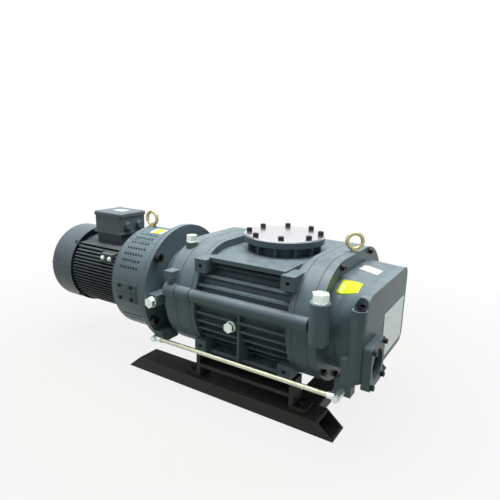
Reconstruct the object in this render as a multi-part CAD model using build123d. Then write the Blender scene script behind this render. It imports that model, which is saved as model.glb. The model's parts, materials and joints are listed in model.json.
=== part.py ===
"""Two-lobe roots vacuum pump with flange motor, coupling lantern and skid rails.

X runs along the shafts from the motor towards the gear cover, Z is up, and Y is across, with the
drive rotor at the front (-Y).  The origin lies under the middle of the inlet, on the floor.
All sizes are in millimetres.
"""
from build123d import *
from math import acos, cos, pi, radians, sin, tan
import os

# ---- driving dimensions -------------------------------------------------------------------
shaft_height = 250.0          # floor to the plane of both shafts
rotor_centres = 160.0         # distance between the two shafts, also the timing gears' pitch diameter
rotor_length = 299.0
rotor_gap = 0.4               # inward offset of each lobe, and gap to the casing bore
end_gap = 0.5                 # rotor face to end plate
shaft_radius = 25.0

casing_wall = 14.0
casing_flange_t = 14.0
plate_overhang = 35.0         # end plates and casing flanges stand this far outside the bore
fin_overhang = 29.0           # casing fins stand this far outside the bore
fin_pitch = 24.0
fin_t = 6.0
fin_rows = 5                  # fins above and below the shaft plane
deck_t = 12.0
deck_half_depth = 200.0
deck_half_length = 112.0
lug_face_y = 219.0            # shaft mid-plane to the tapped lug faces
lug_size = 36.0
lug_span_x = 254.0
lug_span_z = 224.0
lug_thread_r = 5.1            # front lugs, M12
lug_thread_r_rear = 4.25      # rear lugs, M10
lug_thread_depth = 26.0
lug_deck_margin = 4.0         # deck face to the lugs' edge
bead_radius = 17.0
bead_rise = 30.0              # bead axis above the shafts
bead_y = 226.0

port_radius = 76.0            # inlet and outlet bore
port_flange_radius = 112.5    # 160 mm nominal flange
port_flange_t = 16.0
port_pcd = 200.0
port_bolts = 8
port_tap_r = 4.25
port_height = 175.0           # shaft plane to each port flange face
neck_wall = 9.0
neck_ribs = 12
neck_rib_t = 7.0
blank_t = 5.0
blank_hole_r = 5.5
port_screw_head_r = 8.0       # M10 cap screw, also round the gear cover
port_screw_head_h = 10.0
seal_cord_r = 2.5
seal_groove_r = 84.0
seal_groove_half = 3.0

plug_shank_r = 10.0           # screw plugs of the oil chambers and the casing
plug_shank_l = 12.0
level_boss_r = 15.0
level_plug_x = -16.0
level_plug_drop = 22.0        # shafts to the gauge plug
level_plug_y = 236.0

drive_plate_t = 47.0
gear_plate_t = 40.0
bearing_outer_r = 55.0
bearing_inner_r = 34.0        # outside of the inner ring
bearing_width = 27.0
seal_outer_r = 36.0
seal_width = 10.0
running_gap = 0.3
plate_screw_r = 5.0
plate_screw_inset = 12.0      # rim of the gear cover's flange to its screws
plate_screw_angles = (100.0, 226.0, 262.0)

cover_body_length = 38.0      # oval part of the drive cover
cover_neck_length = 54.0
cover_neck_radius = 112.0
cover_wall = 9.0
disc_radius = 180.0
disc_t = 9.0
disc_flat_drop = 150.0        # shafts to the flat at the foot of the disc
filler_boss_r = 17.0
drive_filler_back = 19.0      # end plate to the filler's axis
drive_filler_y = -143.0
drive_filler_top = 150.0      # shafts to the top of the boss
drain_boss_r = 17.0
drain_boss_y = 246.0
drain_boss_rise = -9.0
pipe_lug_half = 16.0
lantern_radius = 157.0
lantern_length = 145.0
lantern_wall = 6.0
lantern_flange_t = 8.0
lantern_ring_t = 12.0
lantern_bolt_pcd = 334.0
lantern_screw_r = 8.0
lantern_screw_angles = (40.0, 140.0, 205.0, 335.0)
vent_size = 5.0
vent_columns = 7
vent_rows = 7
vent_pitch_x = 10.5
vent_pitch_angle = 7.5
vent_first_angle = 156.0
vent_low_angles = (212.0, 219.0)
eye_shank_r = 5.5
eye_ring_r = 20.0
eye_cord_r = 5.0
eye_pad_r = 14.5
eye_pad_rise = 3.0
drive_eye_inset = 16.0        # motor end of the lantern to its eyebolt

motor_flange_radius = 150.0
motor_flange_t = 12.0
motor_spigot_radius = 115.0
motor_bolt_pcd = 265.0
motor_screw_r = 6.5
motor_shield_length = 26.0
motor_frame_length = 205.0
motor_frame_bore = 96.0
motor_frame_radius = 104.0
motor_fin_radius = 123.0
motor_fin_pitch = 10.0
motor_fin_t = 3.2
motor_shaft_radius = 19.0
motor_bearing_outer_r = 40.0
motor_bearing_inner_r = 26.0
motor_bearing_width = 21.0
stator_length = 110.0
rotor_core_radius = 58.0
air_gap = 0.5
cowl_radius = 128.5
cowl_length = 104.0
cowl_wall = 2.5
cowl_screw_r = 2.5
fan_radius = 112.0
fan_width = 34.0
fan_blades = 7

box_length = 118.0
box_depth = 108.0
box_height = 68.0
box_wall = 4.0
box_lid_t = 12.0
entry_r = 10.0
entry_half_span = 24.0
entry_height = 27.0

hub_radius = 40.0
hub_length = 44.0
jaw_length = 16.0

gear_module = 5.0
gear_width = 40.0
gear_pressure_angle = 20.0
gear_backlash = 0.35
gear_cover_flange_t = 22.0
gear_cover_length = 100.0     # flange face to end face
gear_cover_half_width = 194.0
gear_cover_front = 195.0      # end face, shaft mid-plane to the front
gear_cover_rear = 142.0       # end face, shaft mid-plane to the rear
gear_cover_half_height = 118.0
gear_cover_end_height = 108.0 # half height of the end face
gear_cover_corner = 30.0
gear_cover_loft = 53.0        # from the oval section to the square one
gear_cover_wall = 11.0
gear_filler_r = 24.0
gear_filler_y = -228.0
gear_filler_foot = -14.0
gear_filler_top = 88.0
gear_eye_y = 10.0
post_r = 17.0
post_top = 80.0
sight_block_width = 98.0
sight_block_height = 104.0
sight_block_t = 20.0
sight_glass_r = 36.0
sight_block_y = 156.0
sight_block_drop = 54.0

rail_width = 70.0
rail_height = 38.0
rail_wall = 4.0
rail_outer_y = 219.0
rail_front_reach = 263.0      # inlet axis to the rail's +X tip
rail_rear_reach = 402.0       # inlet axis to the rail's -X tip
rail_bevel = 45.0
anchor_span_x = 380.0
anchor_hole_r = 7.0
foot_plate_t = 10.0
foot_leg_t = 12.0
foot_half_length = 150.0
foot_tab = 34.0
foot_half_depth = 23.0
foot_shelf_drop = 37.0        # casing deck to the top of the shelf
foot_bolt_r = 6.0
foot_screw_r = 5.0
foot_screw_span_x = 160.0
foot_screw_y = 186.0

pipe_radius = 6.0
pipe_y = 229.0
pipe_drop = 120.0
pipe_wall = 1.0
pipe_stand = 8.0              # lug face to the pipe's axis
banjo_r = 5.0
banjo_eye_r = 9.0
union_r = 8.0
union_start = 8.0
union_length = 14.0

# ---- places worked out from them -----------------------------------------------------------
axis_z = shaft_height
half_centres = rotor_centres / 2
tip_radius = half_centres * 1.5
bore_radius = tip_radius
casing_radius = bore_radius + casing_wall
plate_radius = bore_radius + plate_overhang
casing_half = rotor_length / 2 + end_gap
deck_rise = (lug_span_z + lug_size) / 2 + lug_deck_margin
deck_top = axis_z + deck_rise
deck_bottom = axis_z - deck_rise
drive_plate_x = -casing_half - drive_plate_t
gear_plate_x = casing_half + gear_plate_t
cover_neck_x = drive_plate_x - cover_body_length
disc_face_x = cover_neck_x - cover_neck_length
lantern_x = disc_face_x - disc_t
motor_x = lantern_x - lantern_length
motor_shield_x = motor_x - motor_shield_length
motor_tail_x = motor_shield_x - motor_frame_length
cowl_x = motor_tail_x - cowl_length
drive_y = -half_centres
driven_y = half_centres
gear_face_x = gear_plate_x + gear_cover_flange_t
gear_end_x = gear_face_x + gear_cover_length
gear_start_x = gear_plate_x + 4.0
gear_stop_x = gear_start_x + gear_width
gear_eye_x = gear_plate_x + gear_cover_flange_t / 2
gear_filler_x = gear_plate_x + gear_filler_r + 0.5
drive_filler_x = drive_plate_x - drive_filler_back
drain_boss_x = disc_face_x + drain_boss_r - 1.0
drive_eye_x = motor_x + drive_eye_inset
motor_hub_x = motor_x + 12.0
pump_hub_x = motor_hub_x + 2 * hub_length + jaw_length + 1.0
spider_x = motor_hub_x + hub_length + 0.5
pipe_line_y = pipe_y + pipe_stand
rail_top = rail_height
rail_y = rail_outer_y - rail_width / 2


# ---- small shape helpers --------------------------------------------------------------------
def rod_x(x0, x1, radius, y=0.0, z=axis_z):
    """Cylinder along X from x0 to x1."""
    return extrude(Plane.YZ.offset(x0) * Pos(y, z) * Circle(radius), amount=x1 - x0)


def rod_y(y0, y1, radius, x, z):
    """Cylinder along Y from y0 to y1."""
    start = Plane(origin=(x, y0, z), x_dir=(1, 0, 0), z_dir=(0, 1, 0))
    return extrude(start * Circle(radius), amount=y1 - y0)


def rod_z(z0, z1, radius, x, y):
    """Cylinder along Z from z0 to z1."""
    return extrude(Plane.XY.offset(z0) * Pos(x, y) * Circle(radius), amount=z1 - z0)


def ring_x(x0, x1, outer, inner, y=0.0, z=axis_z):
    """Ring along X."""
    return rod_x(x0, x1, outer, y, z) - rod_x(x0, x1, inner, y, z)


def block(x0, x1, y0, y1, z0, z1):
    """Box between three pairs of planes."""
    return Pos((x0 + x1) / 2, (y0 + y1) / 2, (z0 + z1) / 2) * Box(x1 - x0, y1 - y0, z1 - z0)


def oval_x(x0, x1, radius):
    """Prism round both shafts, with half circles of the given radius."""
    outline = Pos(0, axis_z) * SlotCenterToCenter(rotor_centres, 2 * radius)
    return extrude(Plane.YZ.offset(x0) * outline, amount=x1 - x0)


def on_circle(radius, count, first=0.0):
    """Points on a circle, as pairs."""
    angles = [radians(first + 360.0 * i / count) for i in range(count)]
    return [(radius * cos(a), radius * sin(a)) for a in angles]


def fused(shapes):
    """One shape from many."""
    shapes = list(shapes)
    total = shapes[0]
    for shape in shapes[1:]:
        total = total + shape
    return total


def group(shapes):
    """Separate solids that share one node."""
    return Compound(children=[solid for shape in shapes for solid in shape.solids()])


def cap_screw(head_r, head_h, shank_r, shank_l):
    """Socket head cap screw with its seat at the origin and its head towards +Z."""
    head = Cylinder(head_r, head_h, align=(Align.CENTER, Align.CENTER, Align.MIN))
    shank = Pos(0, 0, -shank_l) * Cylinder(shank_r, shank_l, align=(Align.CENTER, Align.CENTER, Align.MIN))
    socket = extrude(Plane.XY.offset(head_h) * RegularPolygon(head_r * 0.55, 6), amount=-head_h * 0.5)
    return head + shank - socket


def hex_plug(across_flats, head_h, collar_r, collar_h, shank_r, shank_l):
    """Screw plug with a collar, seat at the origin, head towards +Z."""
    low = (Align.CENTER, Align.CENTER, Align.MIN)
    collar = Cylinder(collar_r, collar_h, align=low)
    head = extrude(Plane.XY.offset(collar_h) * RegularPolygon(across_flats / 2, 6, major_radius=False), amount=head_h)
    shank = Pos(0, 0, -shank_l) * Cylinder(shank_r, shank_l, align=low)
    return collar + head + shank


def facing(direction, x, y, z):
    """Location at a point whose local Z looks along the given direction."""
    return Plane(origin=(x, y, z), z_dir=direction).location


FORWARD, BACKWARD = (1, 0, 0), (-1, 0, 0)
UP, DOWN, TO_FRONT, TO_REAR = (0, 0, 1), (0, 0, -1), (0, -1, 0), (0, 1, 0)


# ---- rotors, gears and shafts ---------------------------------------------------------------
def lobe_arc(kind, start_angle, points=11):
    """Quarter of a two-lobe rotor outline: an epicycloid outside or a hypocycloid inside the pitch circle.

    The rolling circle is a quarter of the pitch circle, and each point is set in by the rotor gap.
    """
    roll = half_centres / 4
    turn = radians(start_angle)
    result = []
    for i in range(points):
        t = radians(90.0 * i / (points - 1))
        if kind == "tip":
            x, y = roll * (5 * cos(t) - cos(5 * t)), roll * (5 * sin(t) - sin(5 * t))
            nx, ny = sin(3 * t), -cos(3 * t)
        else:
            x, y = roll * (3 * cos(t) + cos(3 * t)), roll * (3 * sin(t) - sin(3 * t))
            nx, ny = sin(t), cos(t)
        x, y = x - rotor_gap * nx, y - rotor_gap * ny
        result.append((x * cos(turn) - y * sin(turn), x * sin(turn) + y * cos(turn)))
    return result


def lobe_outline(tip_angle):
    """Rotor section with one tip at the given angle."""
    corners = [("tip", -45), ("waist", 45), ("tip", 135), ("waist", 225)]
    arcs = [Spline(*lobe_arc(kind, angle + tip_angle)) for kind, angle in corners]
    ends = [Line(arcs[i] @ 1, arcs[(i + 1) % 4] @ 0) for i in range(4)
            if (arcs[i] @ 1 - arcs[(i + 1) % 4] @ 0).length > 1e-4]
    return make_face(Curve() + arcs + ends)


def rotor(y, tip_angle, shaft_start, shaft_end):
    """Rotor body with its shaft, in one forging."""
    body = extrude(Plane.YZ.offset(-rotor_length / 2) * Pos(y, axis_z) * lobe_outline(tip_angle),
                   amount=rotor_length)
    return body + rod_x(shaft_start, shaft_end, shaft_radius, y)


def tooth_points(backlash):
    """Half of one gear tooth, from root to tip, as (radius, half angle) pairs."""
    pitch_r = rotor_centres / 2
    teeth = rotor_centres / gear_module
    pressure = radians(gear_pressure_angle)
    base_r = pitch_r * cos(pressure)
    involute = tan(pressure) - pressure
    half = pi / (2 * teeth) - backlash / (2 * pitch_r)
    root_r, tip_r = pitch_r - 1.25 * gear_module, pitch_r + gear_module
    steps = 4
    result = []
    for i in range(steps):
        r = base_r + (tip_r - base_r) * i / (steps - 1)
        at = acos(base_r / r)
        result.append((r, half + involute - (tan(at) - at)))
    return [(root_r, result[0][1])] + result


def timing_gear(y, x0, x1, phase):
    """Spur gear with involute teeth and a bore that seats on the shaft."""
    teeth = round(rotor_centres / gear_module)
    flank = tooth_points(gear_backlash)
    edges = []
    last = None
    first = None
    for tooth in range(teeth):
        middle = radians(phase + 360.0 * tooth / teeth)
        rise = [(r * cos(middle - a), r * sin(middle - a)) for r, a in flank]
        fall = [(r * cos(middle + a), r * sin(middle + a)) for r, a in reversed(flank)]
        if last is None:
            first = rise[0]
        else:
            edges.append(Line(last, rise[0]))
        edges += [Line(rise[0], rise[1]), Spline(*rise[1:]), Line(rise[-1], fall[0]),
                  Spline(*fall[:-1]), Line(fall[-2], fall[-1])]
        last = fall[-1]
    edges.append(Line(last, first))
    blank = extrude(Plane.YZ.offset(x0) * Pos(y, axis_z) * make_face(Curve() + edges), amount=x1 - x0)
    web_r = rotor_centres / 2 - 16.0
    hub_r = shaft_radius + 16.0
    recess = ring_x(x1 - 8.0, x1, web_r, hub_r, y)
    return blank - rod_x(x0, x1, shaft_radius, y) - recess


def bearing_outer(x0, outer_r, inner_r, width, y):
    """Outer ring with its shields, which reach in almost to the inner ring."""
    track = inner_r + (outer_r - inner_r) * 0.55
    ring = ring_x(x0, x0 + width, outer_r, track, y)
    shield_t = 1.6
    shields = [ring_x(x, x + shield_t, track, inner_r + 0.6, y) for x in (x0, x0 + width - shield_t)]
    return fused([ring] + shields)


def bearing_inner(x0, outer_r, bore_r, width, y):
    """Inner ring on the shaft."""
    return ring_x(x0, x0 + width, outer_r, bore_r, y)


# ---- pump casing ------------------------------------------------------------------------------
def lug(x, side, z):
    """Square lug with a blind tapped hole, on the front (-1) or rear (+1) of the casing."""
    half = lug_size / 2
    root_y = deck_half_depth - 45.0
    y0, y1 = sorted((side * root_y, side * lug_face_y))
    solid = block(x - half, x + half, y0, y1, z - half, z + half)
    thread_r = lug_thread_r if side < 0 else lug_thread_r_rear
    hole = rod_y(side * (lug_face_y - lug_thread_depth), side * lug_face_y, thread_r, x, z)
    return solid, hole


def port_neck(side):
    """Ribbed neck and flange of the inlet (+1, top) or the outlet (-1, bottom)."""
    face = axis_z + side * port_height
    under = face - side * port_flange_t
    root = axis_z + side * (min(casing_radius, deck_rise) - deck_t)
    flange = rod_z(min(under, face), max(under, face), port_flange_radius, 0, 0)
    neck = rod_z(min(root, under), max(root, under), port_radius + neck_wall, 0, 0)
    rib_reach = port_flange_radius - 9.0
    ribs = [Rot(0, 0, 360.0 * i / neck_ribs + 15.0)
            * block(port_radius, rib_reach, -neck_rib_t / 2, neck_rib_t / 2, min(root, under), max(root, under))
            for i in range(neck_ribs)]
    return fused([flange, neck] + ribs)


def port_taps(side):
    """Blind tapped holes of a port flange."""
    face = axis_z + side * port_height
    inner = face - side * (port_flange_t - 1.0)
    z0, z1 = min(face, inner), max(face, inner)
    return [rod_z(z0, z1, port_tap_r, x, y) for x, y in on_circle(port_pcd / 2, port_bolts, 22.5)]


def pump_casing():
    """Finned casing with the rotor bores, decks, lugs, ports and end flanges."""
    inner_end = casing_half - casing_flange_t
    body = oval_x(-casing_half, casing_half, casing_radius)
    flanges = [oval_x(*sorted((s * inner_end, s * casing_half)), plate_radius) for s in (-1, 1)]
    envelope = oval_x(-inner_end, inner_end, bore_radius + fin_overhang)
    reach = half_centres + bore_radius + fin_overhang
    levels = [s * (i + 0.5) * fin_pitch for i in range(fin_rows) for s in (-1, 1)]
    sheets = [block(-inner_end, inner_end, -reach, reach, axis_z + z - fin_t / 2, axis_z + z + fin_t / 2)
              for z in levels]
    fins = envelope & fused(sheets)
    decks = [block(-deck_half_length, deck_half_length, -deck_half_depth, deck_half_depth, *sorted((z, z + t)))
             for z, t in ((deck_top, -deck_t), (deck_bottom, deck_t))]
    places = [(x * lug_span_x / 2, side, axis_z + z * lug_span_z / 2)
              for x in (-1, 1) for side in (-1, 1) for z in (-1, 1)]
    lugs = [lug(*place) for place in places]
    rib_y = half_centres + casing_radius
    rib = block(-3.0, 3.0, -rib_y - 14.0, -rib_y + 30.0, deck_bottom + deck_t, axis_z + bead_rise)
    bead = rod_x(-casing_half, casing_half, bead_radius, -bead_y, axis_z + bead_rise)
    boss = rod_y(-level_plug_y, -rib_y + 20.0, level_boss_r, level_plug_x, axis_z - level_plug_drop)
    solid = fused([body, fins] + flanges + decks + [port_neck(1), port_neck(-1), rib, bead, boss]
                  + [shape for shape, _ in lugs])
    bores = oval_bores(-casing_half, casing_half)
    duct = rod_z(axis_z - port_height, axis_z + port_height, port_radius, 0, 0)
    plug_hole = rod_y(-level_plug_y, -level_plug_y + plug_shank_l + 1.0, plug_shank_r, level_plug_x,
                      axis_z - level_plug_drop)
    foot_taps = [rod_z(deck_bottom, deck_bottom + deck_t, foot_screw_r, x, y) for x, y in foot_screw_places()]
    face = axis_z + port_height
    groove = (rod_z(face - 2 * seal_cord_r, face, seal_groove_r + seal_groove_half, 0, 0)
              - rod_z(face - 2 * seal_cord_r, face, seal_groove_r - seal_groove_half, 0, 0))
    cuts = [bores, duct, plug_hole, groove] + port_taps(1) + port_taps(-1) + foot_taps + [hole for _, hole in lugs]
    for cut in cuts:
        solid = solid - cut
    return solid


def oval_bores(x0, x1):
    """The two overlapping rotor bores."""
    return rod_x(x0, x1, bore_radius, drive_y) + rod_x(x0, x1, bore_radius, driven_y)


def foot_screw_places():
    """Screws between the casing's lower deck and the foot brackets."""
    return [(x, y) for x in (-foot_screw_span_x / 2, foot_screw_span_x / 2) for y in (-foot_screw_y, foot_screw_y)]


def inlet_blank_plate():
    """Bright blank that closes the inlet."""
    z0 = axis_z + port_height
    plate = rod_z(z0, z0 + blank_t, port_flange_radius, 0, 0)
    holes = [rod_z(z0, z0 + blank_t, blank_hole_r, x, y) for x, y in on_circle(port_pcd / 2, port_bolts, 22.5)]
    return fused_cut(plate, holes)


def fused_cut(solid, cuts):
    """A solid less each of the cuts."""
    for cut in cuts:
        solid = solid - cut
    return solid


def inlet_cover_screws():
    """Cap screws of the blank."""
    z0 = axis_z + port_height + blank_t
    screw = cap_screw(port_screw_head_r, port_screw_head_h, port_tap_r, blank_t + port_flange_t - 3.0)
    return group(Pos(x, y, z0) * screw for x, y in on_circle(port_pcd / 2, port_bolts, 22.5))


def inlet_seal():
    """Seal cord in the inlet flange's groove."""
    return Pos(0, 0, axis_z + port_height - seal_cord_r) * Torus(seal_groove_r, seal_cord_r - 0.05)


# ---- end plates --------------------------------------------------------------------------------
def plate_screw_places():
    """Screws of the gear cover: three round each half circle and one below the middle."""
    radius = plate_radius - plate_screw_inset
    front = [(drive_y + radius * cos(radians(a)), axis_z + radius * sin(radians(a))) for a in plate_screw_angles]
    return front + [(-y, z) for y, z in front] + [(0.0, axis_z - radius)]


def end_plate(inner_x, outer_x, extra):
    """Plate that closes the rotor bores and carries both bearings and both seals."""
    plate = oval_x(min(inner_x, outer_x), max(inner_x, outer_x), plate_radius) + extra
    away = 1.0 if outer_x > inner_x else -1.0
    cuts = []
    for y in (drive_y, driven_y):
        bearing_seat = outer_x - away * bearing_width
        seal_seat = bearing_seat - away * seal_width
        cuts.append(rod_x(min(bearing_seat, outer_x), max(bearing_seat, outer_x), bearing_outer_r, y))
        cuts.append(rod_x(min(seal_seat, bearing_seat), max(seal_seat, bearing_seat), seal_outer_r, y))
        cuts.append(rod_x(min(inner_x, outer_x), max(inner_x, outer_x), shaft_radius + 1.0, y))
    return fused_cut(plate, cuts)


def drive_end_plate():
    """End plate on the motor side, with its stretch of the front bead."""
    bead = rod_x(drive_plate_x, -casing_half, bead_radius + 2.0, -bead_y, axis_z + bead_rise)
    return end_plate(-casing_half, drive_plate_x, bead)


def gear_end_plate():
    """End plate on the gear side, with its stretch of the front bead."""
    bead = rod_x(casing_half, gear_plate_x, bead_radius, -bead_y, axis_z + bead_rise)
    return end_plate(casing_half, gear_plate_x, bead)


def shaft_seals():
    """Lip seals inboard of each pump bearing, and one where the drive shaft leaves its cover."""
    rings = []
    for y in (drive_y, driven_y):
        left = drive_plate_x + bearing_width
        right = gear_plate_x - bearing_width - seal_width
        rings += [ring_x(x, x + seal_width, seal_outer_r, shaft_radius + running_gap, y) for x in (left, right)]
    rings.append(ring_x(disc_face_x + 4.0, disc_face_x + 4.0 + seal_width, seal_outer_r,
                        shaft_radius + running_gap, drive_y))
    return group(rings)


def pump_bearing_places():
    """Start of each pump bearing along X."""
    return drive_plate_x, gear_plate_x - bearing_width


def pump_bearing_outer_rings():
    """Outer rings in the end plates."""
    return group(bearing_outer(x, bearing_outer_r, bearing_inner_r, bearing_width, y)
                 for x in pump_bearing_places() for y in (drive_y, driven_y))


def inner_rings(y):
    """Inner rings on one pump shaft."""
    return group(bearing_inner(x, bearing_inner_r, shaft_radius, bearing_width, y) for x in pump_bearing_places())


# ---- drive side cover and lantern ----------------------------------------------------------------
def drive_side_cover():
    """Cover of the drive-side bearings, with the disc that the lantern bolts to."""
    body = oval_x(cover_neck_x, drive_plate_x, plate_radius)
    neck = rod_x(disc_face_x, cover_neck_x, cover_neck_radius, drive_y)
    disc = rod_x(lantern_x, disc_face_x, disc_radius, drive_y)
    disc = disc - block(lantern_x, disc_face_x, -400, 400, -200.0, axis_z - disc_flat_drop)
    bead = rod_x(cover_neck_x, drive_plate_x, bead_radius + 4.0, -bead_y, axis_z + bead_rise)
    filler = rod_z(axis_z + 60.0, axis_z + drive_filler_top, filler_boss_r, drive_filler_x, drive_filler_y)
    drain = rod_y(-drain_boss_y, drive_y - 60.0, drain_boss_r, drain_boss_x, axis_z + drain_boss_rise)
    shelf = block(disc_face_x, disc_face_x + 34.0, -drain_boss_y, drive_y - 60.0,
                  axis_z + drain_boss_rise, axis_z + drain_boss_rise + drain_boss_r + 3.0)
    side_lug = block(cover_neck_x, cover_neck_x + 30.0, -bead_y - 14.0, -bead_y + 30.0, axis_z + 66.0, axis_z + 86.0)
    pipe_lug = block(disc_face_x, disc_face_x + 2 * pipe_lug_half, -pipe_y + 4.0, -pipe_y + 70.0,
                     axis_z - pipe_drop - pipe_lug_half, axis_z - pipe_drop + pipe_lug_half)
    solid = fused([body, neck, disc, bead, filler, drain, shelf, side_lug, pipe_lug])
    inside = oval_x(cover_neck_x + cover_wall, drive_plate_x, plate_radius - 24.0)
    sump = rod_x(disc_face_x + seal_width + 8.0, cover_neck_x + cover_wall, cover_neck_radius - cover_wall, drive_y)
    seal_seat = rod_x(lantern_x, disc_face_x + 4.0 + seal_width, seal_outer_r, drive_y)
    passage = rod_x(disc_face_x, cover_neck_x, shaft_radius + 2.0, drive_y)
    filler_hole = rod_z(axis_z + 60.0, axis_z + drive_filler_top, plug_shank_r, drive_filler_x, drive_filler_y)
    drain_hole = rod_y(-drain_boss_y, -drain_boss_y + plug_shank_l + 1.0, plug_shank_r, drain_boss_x,
                       axis_z + drain_boss_rise)
    pipe_hole = rod_y(-pipe_y + 4.0, -pipe_y + 30.0, banjo_r, disc_face_x + pipe_lug_half, axis_z - pipe_drop)
    screw_holes = [rod_x(lantern_x, disc_face_x, lantern_screw_r, y, z) for y, z in lantern_screw_places()]
    return fused_cut(solid, [inside, sump, seal_seat, passage, filler_hole, drain_hole, pipe_hole] + screw_holes)


def lantern_screw_places():
    """Screws between the disc and the lantern."""
    radius = lantern_bolt_pcd / 2
    return [(drive_y + radius * cos(radians(a)), axis_z + radius * sin(radians(a))) for a in lantern_screw_angles]


def motor_screw_places():
    """Screws of the motor flange."""
    return [(drive_y + y, axis_z + z) for y, z in on_circle(motor_bolt_pcd / 2, 4, 45.0)]


def coupling_lantern():
    """Perforated lantern between the motor flange and the drive cover."""
    wall = ring_x(motor_x, lantern_x, lantern_radius, lantern_radius - lantern_wall, drive_y)
    flange_plate = ring_x(lantern_x - lantern_flange_t, lantern_x, disc_radius, lantern_radius - lantern_wall, drive_y)
    flange_plate = flange_plate - block(lantern_x - lantern_flange_t, lantern_x, -400, 400, -200.0,
                                        axis_z - disc_flat_drop)
    ring = ring_x(motor_x, motor_x + lantern_ring_t, lantern_radius - 1.0, motor_spigot_radius, drive_y)
    solid = wall + flange_plate + ring
    vents = [vent(column, angle) for angle in vent_angles() for column in range(vent_columns)]
    screw_holes = [rod_x(lantern_x - lantern_flange_t, lantern_x, lantern_screw_r, y, z)
                   for y, z in lantern_screw_places()]
    motor_holes = [rod_x(motor_x, motor_x + lantern_ring_t, motor_screw_r, y, z) for y, z in motor_screw_places()]
    eye_hole = rod_z(axis_z + lantern_radius - lantern_wall - 10.0, axis_z + lantern_radius + 5.0, eye_shank_r,
                     drive_eye_x, drive_y)
    eye_pad = rod_z(axis_z + lantern_radius - lantern_wall - 6.0, axis_z + lantern_radius + eye_pad_rise, eye_pad_r,
                    drive_eye_x, drive_y)
    return (solid + eye_pad) - (vents + [eye_hole] + screw_holes + motor_holes)


def vent_angles():
    """Rows of vents: a wide field above the shaft at the front and rear, and two rows low down."""
    front = [vent_first_angle - vent_pitch_angle * i for i in range(vent_rows)] + list(vent_low_angles)
    return front + [180.0 - a for a in front]


def vent(column, angle):
    """Square punch through the lantern wall."""
    x = motor_x + lantern_ring_t + 10.0 + column * vent_pitch_x
    depth = lantern_wall + 6.0
    punch = Box(vent_size, depth, vent_size)
    radius = lantern_radius - lantern_wall / 2
    a = radians(angle)
    return Pos(x, drive_y + radius * cos(a), axis_z + radius * sin(a)) * Rot(angle - 90.0, 0, 0) * punch


def lantern_screws():
    """Cap screws from the disc into the lantern."""
    screw = cap_screw(12.0, 16.0, lantern_screw_r, disc_t + lantern_flange_t)
    return group(facing(FORWARD, disc_face_x, y, z) * screw for y, z in lantern_screw_places())


# ---- shaft coupling ---------------------------------------------------------------------------
def sector(x0, x1, inner, outer, start, sweep):
    """Ring sector along X, about the drive shaft."""
    outer_arc = CenterArc((0, 0), outer, start, sweep)
    inner_arc = CenterArc((0, 0), inner, start, sweep)
    outline = Curve() + [outer_arc, Line(outer_arc @ 1, inner_arc @ 1), inner_arc, Line(inner_arc @ 0, outer_arc @ 0)]
    place = Plane.YZ.offset(x0) * Pos(drive_y, axis_z)
    return extrude(place * make_face(outline), amount=x1 - x0)


def coupling_hub(x0, towards, bore_r, first_jaw):
    """Jaw coupling half with three jaws that reach towards the other half."""
    x1 = x0 + towards * hub_length
    body = rod_x(min(x0, x1), max(x0, x1), hub_radius, drive_y) - rod_x(min(x0, x1), max(x0, x1), bore_r, drive_y)
    tip = x1 + towards * (jaw_length - 1.0)
    jaws = [sector(min(x1, tip), max(x1, tip), hub_radius - 18.0, hub_radius, first_jaw + 120.0 * i, 42.0)
            for i in range(3)]
    return fused([body] + jaws)


def coupling_hub_motor():
    """Coupling half on the motor shaft."""
    return coupling_hub(motor_hub_x, 1, motor_shaft_radius, 0.0)


def coupling_hub_pump():
    """Coupling half on the pump shaft."""
    return coupling_hub(pump_hub_x, -1, shaft_radius, 60.0)


def coupling_spider():
    """Rubber star between the jaws."""
    length = jaw_length - 1.0
    core = ring_x(spider_x, spider_x + length, hub_radius - 19.0, 9.0, drive_y)
    gap = 1.0
    legs = [sector(spider_x, spider_x + length, hub_radius - 21.0, hub_radius - 1.0, 42.0 + gap + 60.0 * i,
                   18.0 - 2 * gap) for i in range(6)]
    return fused([core] + legs)


# ---- motor --------------------------------------------------------------------------------------
def motor_drive_shield():
    """Motor end shield with its mounting flange, spigot and bearing seat."""
    flange = rod_x(motor_x - motor_flange_t, motor_x, motor_flange_radius, drive_y)
    spigot = rod_x(motor_x, motor_x + 5.0, motor_spigot_radius - 0.1, drive_y)
    body = rod_x(motor_shield_x, motor_x - motor_flange_t, motor_frame_radius, drive_y)
    register = rod_x(motor_shield_x - 8.0, motor_shield_x, motor_frame_bore - 0.1, drive_y)
    cup = rod_x(motor_shield_x - motor_bearing_width, motor_shield_x, motor_bearing_outer_r + 9.0, drive_y)
    solid = fused([flange, spigot, body, register, cup])
    seat = rod_x(motor_shield_x - motor_bearing_width, motor_shield_x, motor_bearing_outer_r, drive_y)
    bore = rod_x(motor_shield_x, motor_x + 5.0, motor_shaft_radius + 1.0, drive_y)
    hollow = ring_x(motor_shield_x - 8.0, motor_shield_x + 4.0, motor_frame_bore - 7.0, motor_bearing_outer_r + 9.0,
                    drive_y)
    holes = [rod_x(motor_x - motor_flange_t, motor_x, motor_screw_r, y, z) for y, z in motor_screw_places()]
    return fused_cut(solid, [seat, bore, hollow] + holes)


def motor_flange_screws():
    """Hexagon screws of the motor flange."""
    x = motor_x - motor_flange_t
    screw = hex_plug(19.0, 8.0, 11.5, 2.0, motor_screw_r, motor_flange_t + lantern_ring_t)
    return group(facing(BACKWARD, x, y, z) * screw for y, z in motor_screw_places())


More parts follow.
